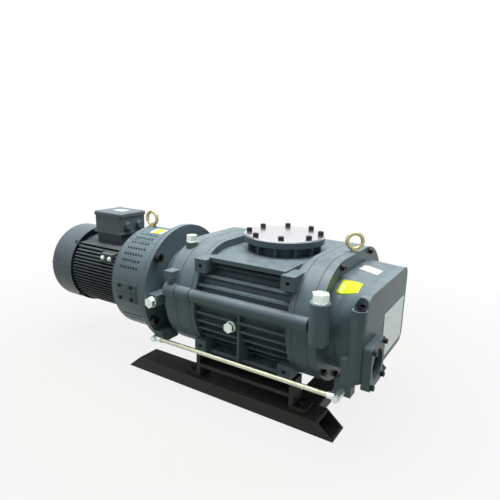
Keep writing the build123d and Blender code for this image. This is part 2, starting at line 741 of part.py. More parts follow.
def motor_frame():
    """Finned motor frame: level fins at the front and rear, upright fins below, and a pad on top."""
    tube = rod_x(motor_tail_x, motor_shield_x, motor_frame_radius, drive_y)
    envelope = rod_x(motor_tail_x + 6.0, motor_shield_x - 4.0, motor_fin_radius, drive_y)
    rows = int(motor_fin_radius * 0.74 / motor_fin_pitch)
    level = [axis_z + motor_fin_pitch * i for i in range(-rows, rows + 1)]
    reach = motor_fin_radius + 2.0
    half = motor_fin_t / 2
    flat = [block(motor_tail_x, motor_shield_x, drive_y - reach, drive_y + reach, z - half, z + half) for z in level]
    spread = int(motor_fin_radius * 0.62 / motor_fin_pitch)
    upright = [block(motor_tail_x, motor_shield_x, drive_y + motor_fin_pitch * i - half,
                     drive_y + motor_fin_pitch * i + half, axis_z - reach, axis_z) for i in range(-spread, spread + 1)]
    pad = block(box_x() - box_length / 2 + 4.0, box_x() + box_length / 2 - 4.0, drive_y - box_depth / 2 + 6.0,
                drive_y + box_depth / 2 - 6.0, axis_z + 60.0, box_floor())
    fins = envelope & fused(flat + upright)
    side_pad = block(motor_shield_x - 74.0, motor_shield_x - 22.0, drive_y - 112.0, drive_y - 60.0,
                     axis_z + 52.0, axis_z + 78.0)
    solid = fused([tube, fins, pad, side_pad])
    return solid - rod_x(motor_tail_x, motor_shield_x, motor_frame_bore, drive_y)


def box_x():
    """Middle of the terminal box along X."""
    return motor_tail_x + motor_frame_length / 2


def box_floor():
    """Height of the terminal box's underside."""
    return axis_z + motor_fin_radius + 4.0


def motor_tail_shield():
    """End shield under the cowl."""
    length = 14.0
    plate = rod_x(motor_tail_x - length, motor_tail_x, motor_frame_radius, drive_y)
    register = ring_x(motor_tail_x, motor_tail_x + 8.0, motor_frame_bore - 0.1, motor_frame_bore - 7.0, drive_y)
    cup = rod_x(motor_tail_x, motor_tail_x + motor_bearing_width, motor_bearing_outer_r + 9.0, drive_y)
    seat = rod_x(motor_tail_x, motor_tail_x + motor_bearing_width, motor_bearing_outer_r, drive_y)
    bore = rod_x(motor_tail_x - length, motor_tail_x, motor_shaft_radius + 1.0, drive_y)
    ears = [cowl_ear(a, length) for a in (45.0, 135.0, 225.0, 315.0)]
    return fused_cut(fused([plate, register, cup] + ears), [seat, bore])


def cowl_ear(angle, length):
    """Radial ear that a cowl screw threads into."""
    reach = cowl_radius - cowl_wall - 0.3
    ear = block(motor_tail_x - length, motor_tail_x, motor_frame_radius - 8.0, reach, -7.0, 7.0)
    trimmed = ear & rod_x(motor_tail_x - length, motor_tail_x, reach, 0, 0)
    return Pos(0, drive_y, axis_z) * Rot(angle, 0, 0) * trimmed


def stator_core():
    """Laminated stator ring."""
    middle = (motor_tail_x + motor_shield_x) / 2
    return ring_x(middle - stator_length / 2, middle + stator_length / 2, motor_frame_bore,
                  rotor_core_radius + air_gap, drive_y)


def stator_windings():
    """Coil heads at both ends of the stator."""
    middle = (motor_tail_x + motor_shield_x) / 2
    depth = 11.0
    rings = [ring_x(*sorted((middle + s * stator_length / 2, middle + s * (stator_length / 2 + depth))),
                    motor_frame_bore - 8.0, rotor_core_radius + 8.0, drive_y) for s in (-1, 1)]
    return group(rings)


def motor_rotor():
    """Squirrel-cage core on the motor shaft."""
    middle = (motor_tail_x + motor_shield_x) / 2
    core = rod_x(middle - stator_length / 2, middle + stator_length / 2, rotor_core_radius, drive_y)
    shaft = rod_x(fan_x() - 4.0, motor_hub_x + hub_length, motor_shaft_radius, drive_y)
    return core + shaft


def fan_x():
    """Rear face of the fan."""
    return motor_tail_x - 22.0 - fan_width


def motor_bearing_places():
    """Start of each motor bearing along X."""
    return motor_tail_x, motor_shield_x - motor_bearing_width


def motor_bearing_outer_rings():
    """Outer rings in the motor shields."""
    return group(bearing_outer(x, motor_bearing_outer_r, motor_bearing_inner_r, motor_bearing_width, drive_y)
                 for x in motor_bearing_places())


def motor_bearing_inner_rings():
    """Inner rings on the motor shaft."""
    return group(bearing_inner(x, motor_bearing_inner_r, motor_shaft_radius, motor_bearing_width, drive_y)
                 for x in motor_bearing_places())


def cooling_fan():
    """Radial fan behind the tail shield."""
    x0 = fan_x()
    hub = ring_x(x0, x0 + fan_width, motor_shaft_radius + 12.0, motor_shaft_radius, drive_y)
    back = ring_x(x0 + fan_width - 3.0, x0 + fan_width, fan_radius - 12.0, motor_shaft_radius + 10.0, drive_y)
    blade = block(x0, x0 + fan_width, motor_shaft_radius + 8.0, fan_radius, -1.8, 1.8)
    blades = [Pos(0, drive_y, axis_z) * Rot(360.0 * i / fan_blades, 0, 0) * blade for i in range(fan_blades)]
    return fused([hub, back] + blades)


def fan_cowl():
    """Cowl with a rounded tail and a ring grille for the intake air."""
    outer = rod_x(cowl_x, motor_tail_x, cowl_radius, drive_y)
    rim = outer.edges().group_by(Axis.X)[0]
    outer = fillet(rim, 16.0)
    inner = rod_x(cowl_x + cowl_wall, motor_tail_x, cowl_radius - cowl_wall, drive_y)
    inner = fillet(inner.edges().group_by(Axis.X)[0], 16.0 - cowl_wall)
    shell = outer - inner
    slots = []
    for ring in range(4):
        r0 = 26.0 + 20.0 * ring
        slots += [sector(cowl_x - 1.0, cowl_x + cowl_wall + 1.0, r0, r0 + 12.0, 90.0 * i + 8.0, 74.0) for i in range(4)]
    return fused_cut(shell, slots + cowl_screw_cuts())


def cowl_screw_frames():
    """Seat of each cowl screw, facing away from the shaft."""
    x = motor_tail_x - 7.0
    frames = []
    for angle in (45.0, 135.0, 225.0, 315.0):
        a = radians(angle)
        frames.append(facing((0, cos(a), sin(a)), x, drive_y + cowl_radius * cos(a), axis_z + cowl_radius * sin(a)))
    return frames


def cowl_screw_cuts():
    """Holes for the cowl screws."""
    drill = Pos(0, 0, -cowl_wall - 0.2) * Cylinder(cowl_screw_r, 2 * cowl_wall + 2.0)
    return [frame * drill for frame in cowl_screw_frames()]


def cowl_screws():
    """Round-headed screws that hold the cowl on its ears."""
    low = (Align.CENTER, Align.CENTER, Align.MIN)
    screw = Cylinder(4.6, 2.6, align=low) + Pos(0, 0, -cowl_wall) * Cylinder(cowl_screw_r, cowl_wall, align=low)
    return group(frame * screw for frame in cowl_screw_frames())


# ---- terminal box ---------------------------------------------------------------------------------
def terminal_box():
    """Open box on the motor's pad, with two cable entries on the pump side."""
    z0, z1 = box_floor(), box_floor() + box_height - box_lid_t
    x0, x1 = box_x() - box_length / 2, box_x() + box_length / 2
    y0, y1 = drive_y - box_depth / 2, drive_y + box_depth / 2
    skirt = block(x0 - 3.0, x1 + 3.0, y0 - 3.0, y1 + 3.0, z0, z0 + 6.0)
    outer = block(x0, x1, y0, y1, z0, z1)
    outer = fillet(outer.edges().filter_by(Axis.Z), 6.0)
    inner = block(x0 + box_wall, x1 - box_wall, y0 + box_wall, y1 - box_wall, z0 + box_wall, z1)
    bosses = [rod_x(x1 - 1.0, x1 + 4.0, entry_r + 4.0, y, z0 + entry_height) for y in entry_places()]
    entries = [rod_x(x1 - box_wall - 1.0, x1 + 4.0, entry_r, y, z0 + entry_height) for y in entry_places()]
    return fused_cut(fused([skirt, outer] + bosses), [inner] + entries)


def entry_places():
    """Cable entries across the box."""
    return drive_y - entry_half_span, drive_y + entry_half_span


def cable_entry_plugs():
    """Blanking plugs in the cable entries."""
    x1 = box_x() + box_length / 2 + 4.0
    plug = hex_plug(22.0, 5.0, entry_r + 3.0, 2.0, entry_r, 9.0)
    return group(facing(FORWARD, x1, y, box_floor() + entry_height) * plug for y in entry_places())


def terminal_box_lid():
    """Lid with rounded corners and a shallow edge."""
    z0 = box_floor() + box_height - box_lid_t
    lid = block(box_x() - box_length / 2 - 3.0, box_x() + box_length / 2 + 3.0, drive_y - box_depth / 2 - 3.0,
                drive_y + box_depth / 2 + 3.0, z0, z0 + box_lid_t)
    lid = fillet(lid.edges().filter_by(Axis.Z), 8.0)
    lid = chamfer(lid.faces().sort_by(Axis.Z)[-1].edges(), 2.5)
    return fused_cut(lid, [Pos(x, y, z0 + box_lid_t - 3.0) * Cylinder(4.2, 6.0) for x, y in lid_screw_places()])


def lid_screw_places():
    """Corners of the terminal box lid."""
    return [(box_x() + sx * (box_length / 2 - 7.0), drive_y + sy * (box_depth / 2 - 7.0))
            for sx in (-1, 1) for sy in (-1, 1)]


def lid_screws():
    """Screws sunk in the lid."""
    z0 = box_floor() + box_height - 6.0
    return group(Pos(x, y, z0) * Cylinder(3.9, 4.0, align=(Align.CENTER, Align.CENTER, Align.MIN))
                 for x, y in lid_screw_places())


def terminal_block():
    """Six-stud terminal block inside the box."""
    z0 = box_floor() + box_wall
    base = block(box_x() - 34.0, box_x() + 34.0, drive_y - 22.0, drive_y + 22.0, z0, z0 + 14.0)
    studs = [rod_z(z0 + 14.0, z0 + 27.0, 2.5, box_x() + 24.0 * i, drive_y + 11.0 * s)
             for i in (-1, 0, 1) for s in (-1, 1)]
    return fused([base] + studs)


# ---- gear side -----------------------------------------------------------------------------------
def rounded_section(front, rear, half_height, corner):
    """Rounded rectangle that reaches the given distances to the front and the rear."""
    return Pos((rear - front) / 2, axis_z) * RectangleRounded(front + rear, 2 * half_height, corner)


def gear_cover_form(inset):
    """Outer form of the gear cover, or its hollow when inset by the wall: oval at the flange, square at the end."""
    x0 = gear_face_x if inset == 0 else gear_plate_x
    x1 = gear_stop_x + 3.0
    x2 = x1 + gear_cover_loft
    near_width, near_height = gear_cover_half_width - inset, gear_cover_half_height - inset
    oval = rounded_section(near_width, near_width, near_height, near_height - 2.0)
    square = rounded_section(gear_cover_front - inset, gear_cover_rear - inset,
                             gear_cover_end_height - inset, gear_cover_corner - inset)
    near, far = Plane.YZ.offset(x1) * oval, Plane.YZ.offset(x2) * square
    straight = extrude(Plane.YZ.offset(x0) * oval, amount=x1 - x0)
    return straight + loft([near, far], ruled=True) + extrude(far, amount=gear_end_x - inset - x2)


def post_place():
    """Axis of the corner post."""
    return gear_end_x - post_r, -gear_cover_front - 4.0


def gear_cover():
    """Cover round the timing gears, with its flange, filler boss, corner post and drain block."""
    flange_plate = oval_x(gear_plate_x, gear_face_x, plate_radius)
    form = gear_cover_form(0)
    filler = rod_z(axis_z + gear_filler_foot, axis_z + gear_filler_top, gear_filler_r, gear_filler_x, gear_filler_y)
    filler = fillet(filler.edges().group_by(Axis.Z)[0], 12.0)
    filler_root = block(gear_plate_x + 0.5, gear_face_x, gear_filler_y, gear_filler_y + 40.0,
                        axis_z + gear_filler_foot + 14.0, axis_z + gear_filler_top - 30.0)
    post_x, post_y = post_place()
    post = rod_z(axis_z - 90.0, axis_z + post_top, post_r, post_x, post_y)
    column = block(post_x - 30.0, post_x + 4.0, post_y - 12.0, post_y + 20.0, axis_z - 100.0, axis_z - 38.0)
    foot_block = block(post_x - 44.0, post_x - 4.0, post_y - 6.0, post_y + 24.0, axis_z - 132.0, axis_z - 96.0)
    eye_pad = rod_z(axis_z + 125.0, axis_z + plate_radius + 2.0, gear_cover_flange_t / 2 - 0.5, gear_eye_x, gear_eye_y)
    solid = fused([flange_plate, form, filler, filler_root, post, column, foot_block, eye_pad])
    notch = rod_z(axis_z + post_top, axis_z + gear_cover_half_height + 5.0, post_r, post_x, post_y)
    filler_hole = rod_z(axis_z + 20.0, axis_z + gear_filler_top, plug_shank_r, gear_filler_x, gear_filler_y)
    post_hole = rod_z(axis_z + post_top - plug_shank_l - 1.0, axis_z + post_top, plug_shank_r, post_x, post_y)
    eye_hole = rod_z(axis_z + plate_radius - 20.0, axis_z + plate_radius + 2.0, eye_shank_r, gear_eye_x, gear_eye_y)
    window = rod_x(gear_end_x - gear_cover_wall, gear_end_x, sight_glass_r - 4.0, -sight_block_y,
                   axis_z - sight_block_drop)
    pipe_hole = rod_y(post_y - 6.0, post_y + 14.0, banjo_r, post_x - 24.0, axis_z - pipe_drop)
    screw_holes = [rod_x(gear_plate_x, gear_face_x, plate_screw_r, y, z) for y, z in plate_screw_places()]
    hollow = gear_cover_form(gear_cover_wall)
    return fused_cut(solid, [hollow, notch, filler_hole, post_hole, eye_hole, window, pipe_hole] + screw_holes)


def sight_glass_frame():
    """Block that clamps the oil sight glass to the end face."""
    y, z = -sight_block_y, axis_z - sight_block_drop
    frame = block(gear_end_x, gear_end_x + sight_block_t, y - sight_block_width / 2, y + sight_block_width / 2,
                  z - sight_block_height / 2, z + sight_block_height / 2)
    frame = fillet(frame.edges().filter_by(Axis.X), 8.0)
    seat = rod_x(gear_end_x, gear_end_x + 8.0, sight_glass_r + 3.0, y, z)
    window = rod_x(gear_end_x, gear_end_x + sight_block_t, sight_glass_r, y, z)
    return fused_cut(frame, [seat, window] + [rod_x(gear_end_x, gear_end_x + sight_block_t, 4.2, sy, sz)
                                              for sy, sz in sight_screw_places()])


def sight_screw_places():
    """Corners of the sight glass block."""
    y, z = -sight_block_y, axis_z - sight_block_drop
    return [(y + sy * (sight_block_width / 2 - 10.0), z + sz * (sight_block_height / 2 - 10.0))
            for sy in (-1, 1) for sz in (-1, 1)]


def sight_glass():
    """Round glass in the block."""
    return rod_x(gear_end_x, gear_end_x + 7.0, sight_glass_r + 2.7, -sight_block_y, axis_z - sight_block_drop)


def sight_glass_screws():
    """Cap screws of the block."""
    screw = cap_screw(6.5, 8.0, 4.2, sight_block_t)
    return group(facing(FORWARD, gear_end_x + sight_block_t, y, z) * screw for y, z in sight_screw_places())


def gear_cover_screws():
    """Cap screws round the gear cover's flange."""
    screw = cap_screw(port_screw_head_r, port_screw_head_h, plate_screw_r, gear_cover_flange_t)
    return group(facing(FORWARD, gear_face_x, y, z) * screw for y, z in plate_screw_places())


def gear_lock_nut(y):
    """Nut that clamps a timing gear on its shaft."""
    return hex_ring_x(gear_stop_x, gear_stop_x + 9.0, 68.0, shaft_radius, y)


def hex_ring_x(x0, x1, across_flats, bore_r, y):
    """Hexagon nut along X."""
    outline = Plane.YZ.offset(x0) * Pos(y, axis_z) * RegularPolygon(across_flats / 2, 6, major_radius=False)
    return extrude(outline, amount=x1 - x0) - rod_x(x0, x1, bore_r, y)


# ---- plugs, eyebolts and the balance pipe -----------------------------------------------------------
def eyebolt(shank_l):
    """Lifting eyebolt with its collar at the origin and its ring across X."""
    low = (Align.CENTER, Align.CENTER, Align.MIN)
    collar = Cylinder(10.0, 6.0, align=low)
    shank = Pos(0, 0, -shank_l) * Cylinder(eye_shank_r, shank_l, align=low)
    ring = Pos(0, 0, 6.0 + eye_ring_r) * Rot(90, 0, 0) * Torus(eye_ring_r, eye_cord_r)
    return collar + shank + ring


def lifting_eyebolt_drive():
    """Eyebolt on the lantern, turned edge-on to the front."""
    top = axis_z + lantern_radius + eye_pad_rise
    return Pos(drive_eye_x, drive_y, top) * eyebolt(lantern_wall + eye_pad_rise)


def lifting_eyebolt_gear():
    """Eyebolt on the gear cover's flange."""
    top = axis_z + plate_radius + 2.0
    return Pos(gear_eye_x, gear_eye_y, top) * Rot(0, 0, 30.0) * eyebolt(20.0)


def oil_filler_plugs():
    """Plugs of both oil chambers."""
    small = hex_plug(27.0, 16.0, filler_boss_r - 1.0, 4.0, plug_shank_r, plug_shank_l)
    large = hex_plug(36.0, 18.0, gear_filler_r - 4.0, 4.0, plug_shank_r, plug_shank_l)
    return group([Pos(drive_filler_x, drive_filler_y, axis_z + drive_filler_top) * small,
                  Pos(gear_filler_x, gear_filler_y, axis_z + gear_filler_top) * large])


def casing_and_drain_plugs():
    """Front plugs: oil drain of the drive cover and gauge plug of the casing."""
    plug = hex_plug(27.0, 12.0, drain_boss_r - 1.5, 3.0, plug_shank_r, plug_shank_l)
    gauge = hex_plug(24.0, 12.0, level_boss_r - 1.0, 3.0, plug_shank_r, plug_shank_l)
    return group([facing(TO_FRONT, drain_boss_x, -drain_boss_y, axis_z + drain_boss_rise) * plug,
                  facing(TO_FRONT, level_plug_x, -level_plug_y, axis_z - level_plug_drop) * gauge])


def post_plug():
    """Socket plug in the corner post."""
    low = (Align.CENTER, Align.CENTER, Align.MIN)
    body = Cylinder(13.0, 3.0, align=low) + Pos(0, 0, -plug_shank_l) * Cylinder(plug_shank_r, plug_shank_l, align=low)
    socket = extrude(Plane.XY.offset(3.0) * RegularPolygon(7.0, 6), amount=-7.0)
    post_x, post_y = post_place()
    return Pos(post_x, post_y, axis_z + post_top) * (body - socket)


def pipe_ends():
    """Both ends of the balance pipe: lug on the drive cover and block under the gear cover."""
    return disc_face_x + pipe_lug_half, post_place()[0] - 24.0


def banjo(x, seat_y):
    """Banjo fitting: round eye on a hollow screw that enters its lug."""
    z = axis_z - pipe_drop
    front = -pipe_line_y - 7.0
    eye = rod_y(front, seat_y, banjo_eye_r, x, z)
    screw = rod_y(seat_y, seat_y + 14.0, banjo_r, x, z)
    head = facing(TO_FRONT, x, front, z) * extrude(RegularPolygon(8.0, 6, major_radius=False), amount=5.0)
    return eye + screw + head


def pipe_fittings():
    """Banjo and union nut at each end of the pipe."""
    left, right = pipe_ends()
    z = axis_z - pipe_drop
    left_nut = rod_x(left, left + union_start + union_length, union_r, -pipe_line_y, z)
    right_nut = rod_x(right - union_start - union_length, right, union_r, -pipe_line_y, z)
    return group([banjo(left, -pipe_y + 4.0) + left_nut, banjo(right, post_place()[1] - 6.0) + right_nut])


def balance_pipe():
    """Straight pipe between the two oil chambers."""
    left, right = pipe_ends()
    inset = union_start + union_length
    return ring_x(left + inset, right - inset, pipe_radius, pipe_radius - pipe_wall, -pipe_line_y, axis_z - pipe_drop)


# ---- skid ------------------------------------------------------------------------------------------
def skid_rail(side):
    """Hollow rail with both ends cut back towards the top, and anchor holes in its underside."""
    middle = side * rail_y
    profile = Polyline((-rail_rear_reach, 0), (rail_front_reach, 0), (rail_front_reach - rail_bevel, rail_height),
                       (-rail_rear_reach + rail_bevel, rail_height), close=True)
    start = Plane(origin=(0, middle + rail_width / 2, 0), x_dir=(1, 0, 0), z_dir=(0, -1, 0))
    solid = extrude(start * make_face(profile), amount=rail_width)
    hollow = block(-rail_rear_reach, rail_front_reach, middle - rail_width / 2 + rail_wall,
                   middle + rail_width / 2 - rail_wall, rail_wall, rail_height - rail_wall)
    anchors = [rod_z(0, rail_wall, anchor_hole_r, x, middle) for x in (-anchor_span_x / 2, anchor_span_x / 2)]
    bolts = [rod_z(rail_height - rail_wall, rail_height, foot_bolt_r, x, middle) for x in foot_bolt_places()]
    return fused_cut(solid, [hollow] + anchors + bolts)


def foot_bolt_places():
    """Foot bolts along X."""
    place = foot_half_length + foot_tab / 2
    return -place, place


def skid_cross_members():
    """Two ties between the rails, below the casing feet."""
    inner = rail_y - rail_width / 2
    ties = []
    for x in (-foot_half_length - 10.0, foot_half_length + 10.0):
        tie = block(x - 15.0, x + 15.0, -inner, inner, 0.0, rail_height - 6.0)
        ties.append(tie - block(x - 12.0, x + 12.0, -inner, inner, 3.0, rail_height - 9.0))
    return group(ties)


def foot_bracket(side):
    """Welded bracket under one side of the casing: legs, shelf, top strip and bolted tabs."""
    middle = side * rail_y
    y0, y1 = middle - foot_half_depth, middle + foot_half_depth
    z1 = deck_bottom
    top = block(-foot_half_length, foot_half_length, y0, y1, z1 - foot_plate_t, z1)
    shelf_z = deck_bottom - foot_shelf_drop
    shelf = block(-foot_half_length, foot_half_length, y0, y1, shelf_z - foot_plate_t, shelf_z)
    legs = [block(*sorted((s * (foot_half_length - foot_leg_t), s * foot_half_length)), y0, y1, rail_top, z1)
            for s in (-1, 1)]
    tabs = [block(*sorted((s * foot_half_length, s * (foot_half_length + foot_tab))), y0, y1,
                  rail_top, rail_top + foot_plate_t) for s in (-1, 1)]
    holes = [rod_z(rail_top, rail_top + foot_plate_t, foot_bolt_r, x, middle) for x in foot_bolt_places()]
    screw_holes = [rod_z(z1 - foot_plate_t, z1, foot_screw_r, x, y) for x, y in foot_screw_places() if y * side > 0]
    return fused_cut(fused([top, shelf] + legs + tabs), holes + screw_holes)


def foot_bolts():
    """Bolts from the bracket tabs into the rails."""
    bolt = hex_plug(19.0, 8.0, 12.0, 2.5, foot_bolt_r, foot_plate_t + rail_wall)
    return group(Pos(x, s * rail_y, rail_top + foot_plate_t) * bolt for x in foot_bolt_places() for s in (-1, 1))


def foot_screws():
    """Screws from the brackets up into the casing."""
    screw = hex_plug(16.0, 7.0, 9.0, 2.0, foot_screw_r, foot_plate_t + deck_t - 2.0)
    z = deck_bottom - foot_plate_t
    return group(facing(DOWN, x, y, z) * screw for x, y in foot_screw_places())


# ---- assembly ---------------------------------------------------------------------------------------
nodes = {
    "skid_rail_front": skid_rail(-1),
    "skid_rail_rear": skid_rail(1),
    "skid_cross_members": skid_cross_members(),
    "foot_bracket_front": foot_bracket(-1),
    "foot_bracket_rear": foot_bracket(1),
    "foot_bolts": foot_bolts(),
    "foot_screws": foot_screws(),
    "pump_casing": pump_casing(),
    "inlet_blank_plate": inlet_blank_plate(),
    "inlet_cover_screws": inlet_cover_screws(),
    "inlet_seal": inlet_seal(),
    "drive_end_plate": drive_end_plate(),
    "gear_end_plate": gear_end_plate(),
    "shaft_seals": shaft_seals(),
    "pump_bearing_outer_rings": pump_bearing_outer_rings(),
    "drive_side_cover": drive_side_cover(),
    "coupling_lantern": coupling_lantern(),
    "lantern_screws": lantern_screws(),
    "lifting_eyebolt_drive": lifting_eyebolt_drive(),
    "lifting_eyebolt_gear": lifting_eyebolt_gear(),
    "motor_drive_shield": motor_drive_shield(),
    "motor_flange_screws": motor_flange_screws(),
    "motor_frame": motor_frame(),
    "motor_tail_shield": motor_tail_shield(),
    "stator_core": stator_core(),
    "stator_windings": stator_windings(),
    "motor_bearing_outer_rings": motor_bearing_outer_rings(),
    "fan_cowl": fan_cowl(),
    "cowl_screws": cowl_screws(),
    "terminal_box": terminal_box(),
    "terminal_box_lid": terminal_box_lid(),
    "lid_screws": lid_screws(),
    "terminal_block": terminal_block(),
    "cable_entry_plugs": cable_entry_plugs(),
    "gear_cover": gear_cover(),
    "gear_cover_screws": gear_cover_screws(),
    "sight_glass_frame": sight_glass_frame(),
    "sight_glass": sight_glass(),
    "sight_glass_screws": sight_glass_screws(),
    "oil_filler_plugs": oil_filler_plugs(),
    "casing_and_drain_plugs": casing_and_drain_plugs(),
    "post_plug": post_plug(),
    "pipe_fittings": pipe_fittings(),
    "balance_pipe": balance_pipe(),
    "drive_rotor": rotor(drive_y, 0.0, pump_hub_x - hub_length, gear_stop_x + 14.0),
    "drive_bearing_inner_rings": inner_rings(drive_y),
    "timing_gear_drive": timing_gear(drive_y, gear_start_x, gear_stop_x, 0.0),
    "gear_nut_drive": gear_lock_nut(drive_y),
    "coupling_hub_pump": coupling_hub_pump(),
    "coupling_spider": coupling_spider(),
    "coupling_hub_motor": coupling_hub_motor(),
    "motor_rotor": motor_rotor(),
    "motor_bearing_inner_rings": motor_bearing_inner_rings(),
    "cooling_fan": cooling_fan(),
    "driven_rotor": rotor(driven_y, 90.0, drive_plate_x, gear_stop_x + 14.0),
    "driven_bearing_inner_rings": inner_rings(driven_y),
    "timing_gear_driven": timing_gear(driven_y, gear_start_x, gear_stop_x,
                                      180.0 * (1 + gear_module / rotor_centres)),
    "gear_nut_driven": gear_lock_nut(driven_y),
}

os.makedirs("parts", exist_ok=True)
for name, shape in nodes.items():
    export_step(shape, f"parts/{name}.step")
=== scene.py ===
"""Finishes, labels and small fittings for the roots vacuum pump, laid out as an add-on."""
import json
from math import cos, pi, radians, sin

import bmesh
import bpy
from bpy.props import FloatProperty, FloatVectorProperty, PointerProperty
from mathutils import Matrix, Vector
from mathutils.bvhtree import BVHTree


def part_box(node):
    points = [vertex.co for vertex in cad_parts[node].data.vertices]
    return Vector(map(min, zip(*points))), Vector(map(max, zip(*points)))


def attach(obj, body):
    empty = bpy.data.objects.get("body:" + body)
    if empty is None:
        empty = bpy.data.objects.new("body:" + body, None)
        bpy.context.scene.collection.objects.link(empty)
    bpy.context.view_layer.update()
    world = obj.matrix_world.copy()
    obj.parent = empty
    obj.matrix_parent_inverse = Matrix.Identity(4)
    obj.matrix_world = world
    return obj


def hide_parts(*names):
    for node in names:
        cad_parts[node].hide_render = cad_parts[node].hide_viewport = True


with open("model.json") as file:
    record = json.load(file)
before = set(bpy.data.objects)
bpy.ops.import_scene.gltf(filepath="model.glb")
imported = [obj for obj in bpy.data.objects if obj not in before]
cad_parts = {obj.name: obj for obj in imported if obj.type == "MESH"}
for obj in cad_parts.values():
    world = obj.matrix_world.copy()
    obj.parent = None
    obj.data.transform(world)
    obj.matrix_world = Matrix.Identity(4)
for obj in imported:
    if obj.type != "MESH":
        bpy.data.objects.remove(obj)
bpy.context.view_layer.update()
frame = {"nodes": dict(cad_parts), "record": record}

bl_info = {
    "name": "Roots vacuum pump dressing",
    "version": (1, 0, 0),
    "blender": (4, 5, 0),
    "location": "View3D > Sidebar > Pump",
    "description": "Gives the vacuum pump its finishes, labels, small fittings and studio",
    "category": "Object",
}

BODY = "pump_frame"


# The drive shaft's joint, which the motor, its cowl and the lantern are centred on.
SHAFT = Vector(frame["record"]["behaviour"]["joints"][0]["pos_m"])


def corners(node):
    """Lowest and highest corner of a node, as vectors."""
    low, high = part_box(node)
    return Vector(low), Vector(high)


# ---- shader maths -------------------------------------------------------------------------------
class Wire:
    """A shader socket that adds Math nodes when it is calculated with."""

    def __init__(self, finish, socket):
        self.finish, self.socket = finish, socket

    def maths(self, operation, first, second=0.0):
        return self.finish.node("ShaderNodeMath", {"operation": operation}, {0: first, 1: second})

    def __add__(self, other):
        return self.maths("ADD", self, other)

    def __sub__(self, other):
        return self.maths("SUBTRACT", self, other)

    def __rsub__(self, other):
        return self.maths("SUBTRACT", other, self)

    def __mul__(self, other):
        return self.maths("MULTIPLY", self, other)

    def __pow__(self, other):
        return self.maths("POWER", self, other)

    __radd__ = __add__
    __rmul__ = __mul__

    def step(self, low, high):
        """0 below low, 1 above high."""
        return self.finish.node("ShaderNodeMapRange", {"clamp": True}, {0: self, 1: low, 2: high})


class Finish:
    """One material and the nodes that colour it."""

    def __init__(self, name, colour, rough, metal=0.0):
        self.material = bpy.data.materials.new(name)
        self.material.use_nodes = True
        self.tree = self.material.node_tree
        self.shader = self.tree.nodes["Principled BSDF"]
        self.shader.inputs["Base Color"].default_value = (*colour, 1.0)
        self.shader.inputs["Roughness"].default_value = rough
        self.shader.inputs["Metallic"].default_value = metal
        self.place = self.node("ShaderNodeTexCoord", out="Object")

    def feed(self, socket, value):
        """Links a wire to a socket, or sets the socket's own value."""
        if isinstance(value, Wire):
            self.tree.links.new(value.socket, socket)
        else:
            socket.default_value = value

    def node(self, kind, settings=None, inputs=None, out=0):
        """Adds a node: its settings first, then its sockets' values or links."""
        made = self.tree.nodes.new(kind)
        for key, value in (settings or {}).items():
            if key == "stops":
                for at, colour in value:
                    stop = made.color_ramp.elements.new(at)
                    stop.color = (*colour, 1.0)
                made.color_ramp.elements.remove(made.color_ramp.elements[0])
                made.color_ramp.elements.remove(made.color_ramp.elements[-1])
            else:
                setattr(made, key, value)
        for key, value in (inputs or {}).items():
            self.feed(made.inputs[key], value)
        return Wire(self, made.outputs[out])

    def noise(self, scale, detail=3.0, rough=0.5, at=None):
        """Noise from 0 to 1."""
        return self.node("ShaderNodeTexNoise", None,
                         {"Vector": at or self.place, "Scale": scale, "Detail": detail, "Roughness": rough})

    def stretched(self, scale):
        """Object place scaled by three numbers."""
        return self.node("ShaderNodeMapping", None, {"Vector": self.place, "Scale": scale})

    def blend(self, amount, first, second):
        """Mix of two colours."""
        mixer = self.tree.nodes.new("ShaderNodeMix")
        mixer.data_type = "RGBA"
        self.feed(mixer.inputs[0], amount)
        for socket, value in ((mixer.inputs[6], first), (mixer.inputs[7], second)):
            self.feed(socket, value if isinstance(value, Wire) else (*value, 1.0))
        return Wire(self, mixer.outputs[2])

    def parts(self, vector):
        """The three numbers of a vector."""
        split = self.tree.nodes.new("ShaderNodeSeparateXYZ")
        self.feed(split.inputs[0], vector)
        return [Wire(self, socket) for socket in split.outputs]

    def soft_edge(self, radius):
        """Normal with its edges rounded."""
        return self.node("ShaderNodeBevel", {"samples": 6}, {"Radius": radius})

    def edge_mask(self, soft):
        """0 on flat faces, 1 on edges."""
        true = self.node("ShaderNodeNewGeometry", out="Normal")
        along = self.node("ShaderNodeVectorMath", {"operation": "DOT_PRODUCT"}, {0: soft, 1: true},
                          out="Value")
        return (1.0 - along).step(0.02, 0.22)

    def facing_up(self):
        """1 on faces that look up."""
        return self.parts(self.node("ShaderNodeNewGeometry", out="Normal"))[2].step(0.25, 0.95)

    def bump(self, height, distance, soft=None, strength=1.0):
        """Feeds the shader's normal with a relief of that depth in metres."""
        inputs = {"Height": height, "Distance": distance, "Strength": strength}
        if soft:
            inputs["Normal"] = soft
        self.feed(self.shader.inputs["Normal"], self.node("ShaderNodeBump", None, inputs))

    def set(self, name, value):
        """Feeds or sets one socket of the shader."""
        self.feed(self.shader.inputs[name], value)


def shade(colour, factor):
    """A colour made lighter or darker."""
    return tuple(min(1.0, c * factor) for c in colour)


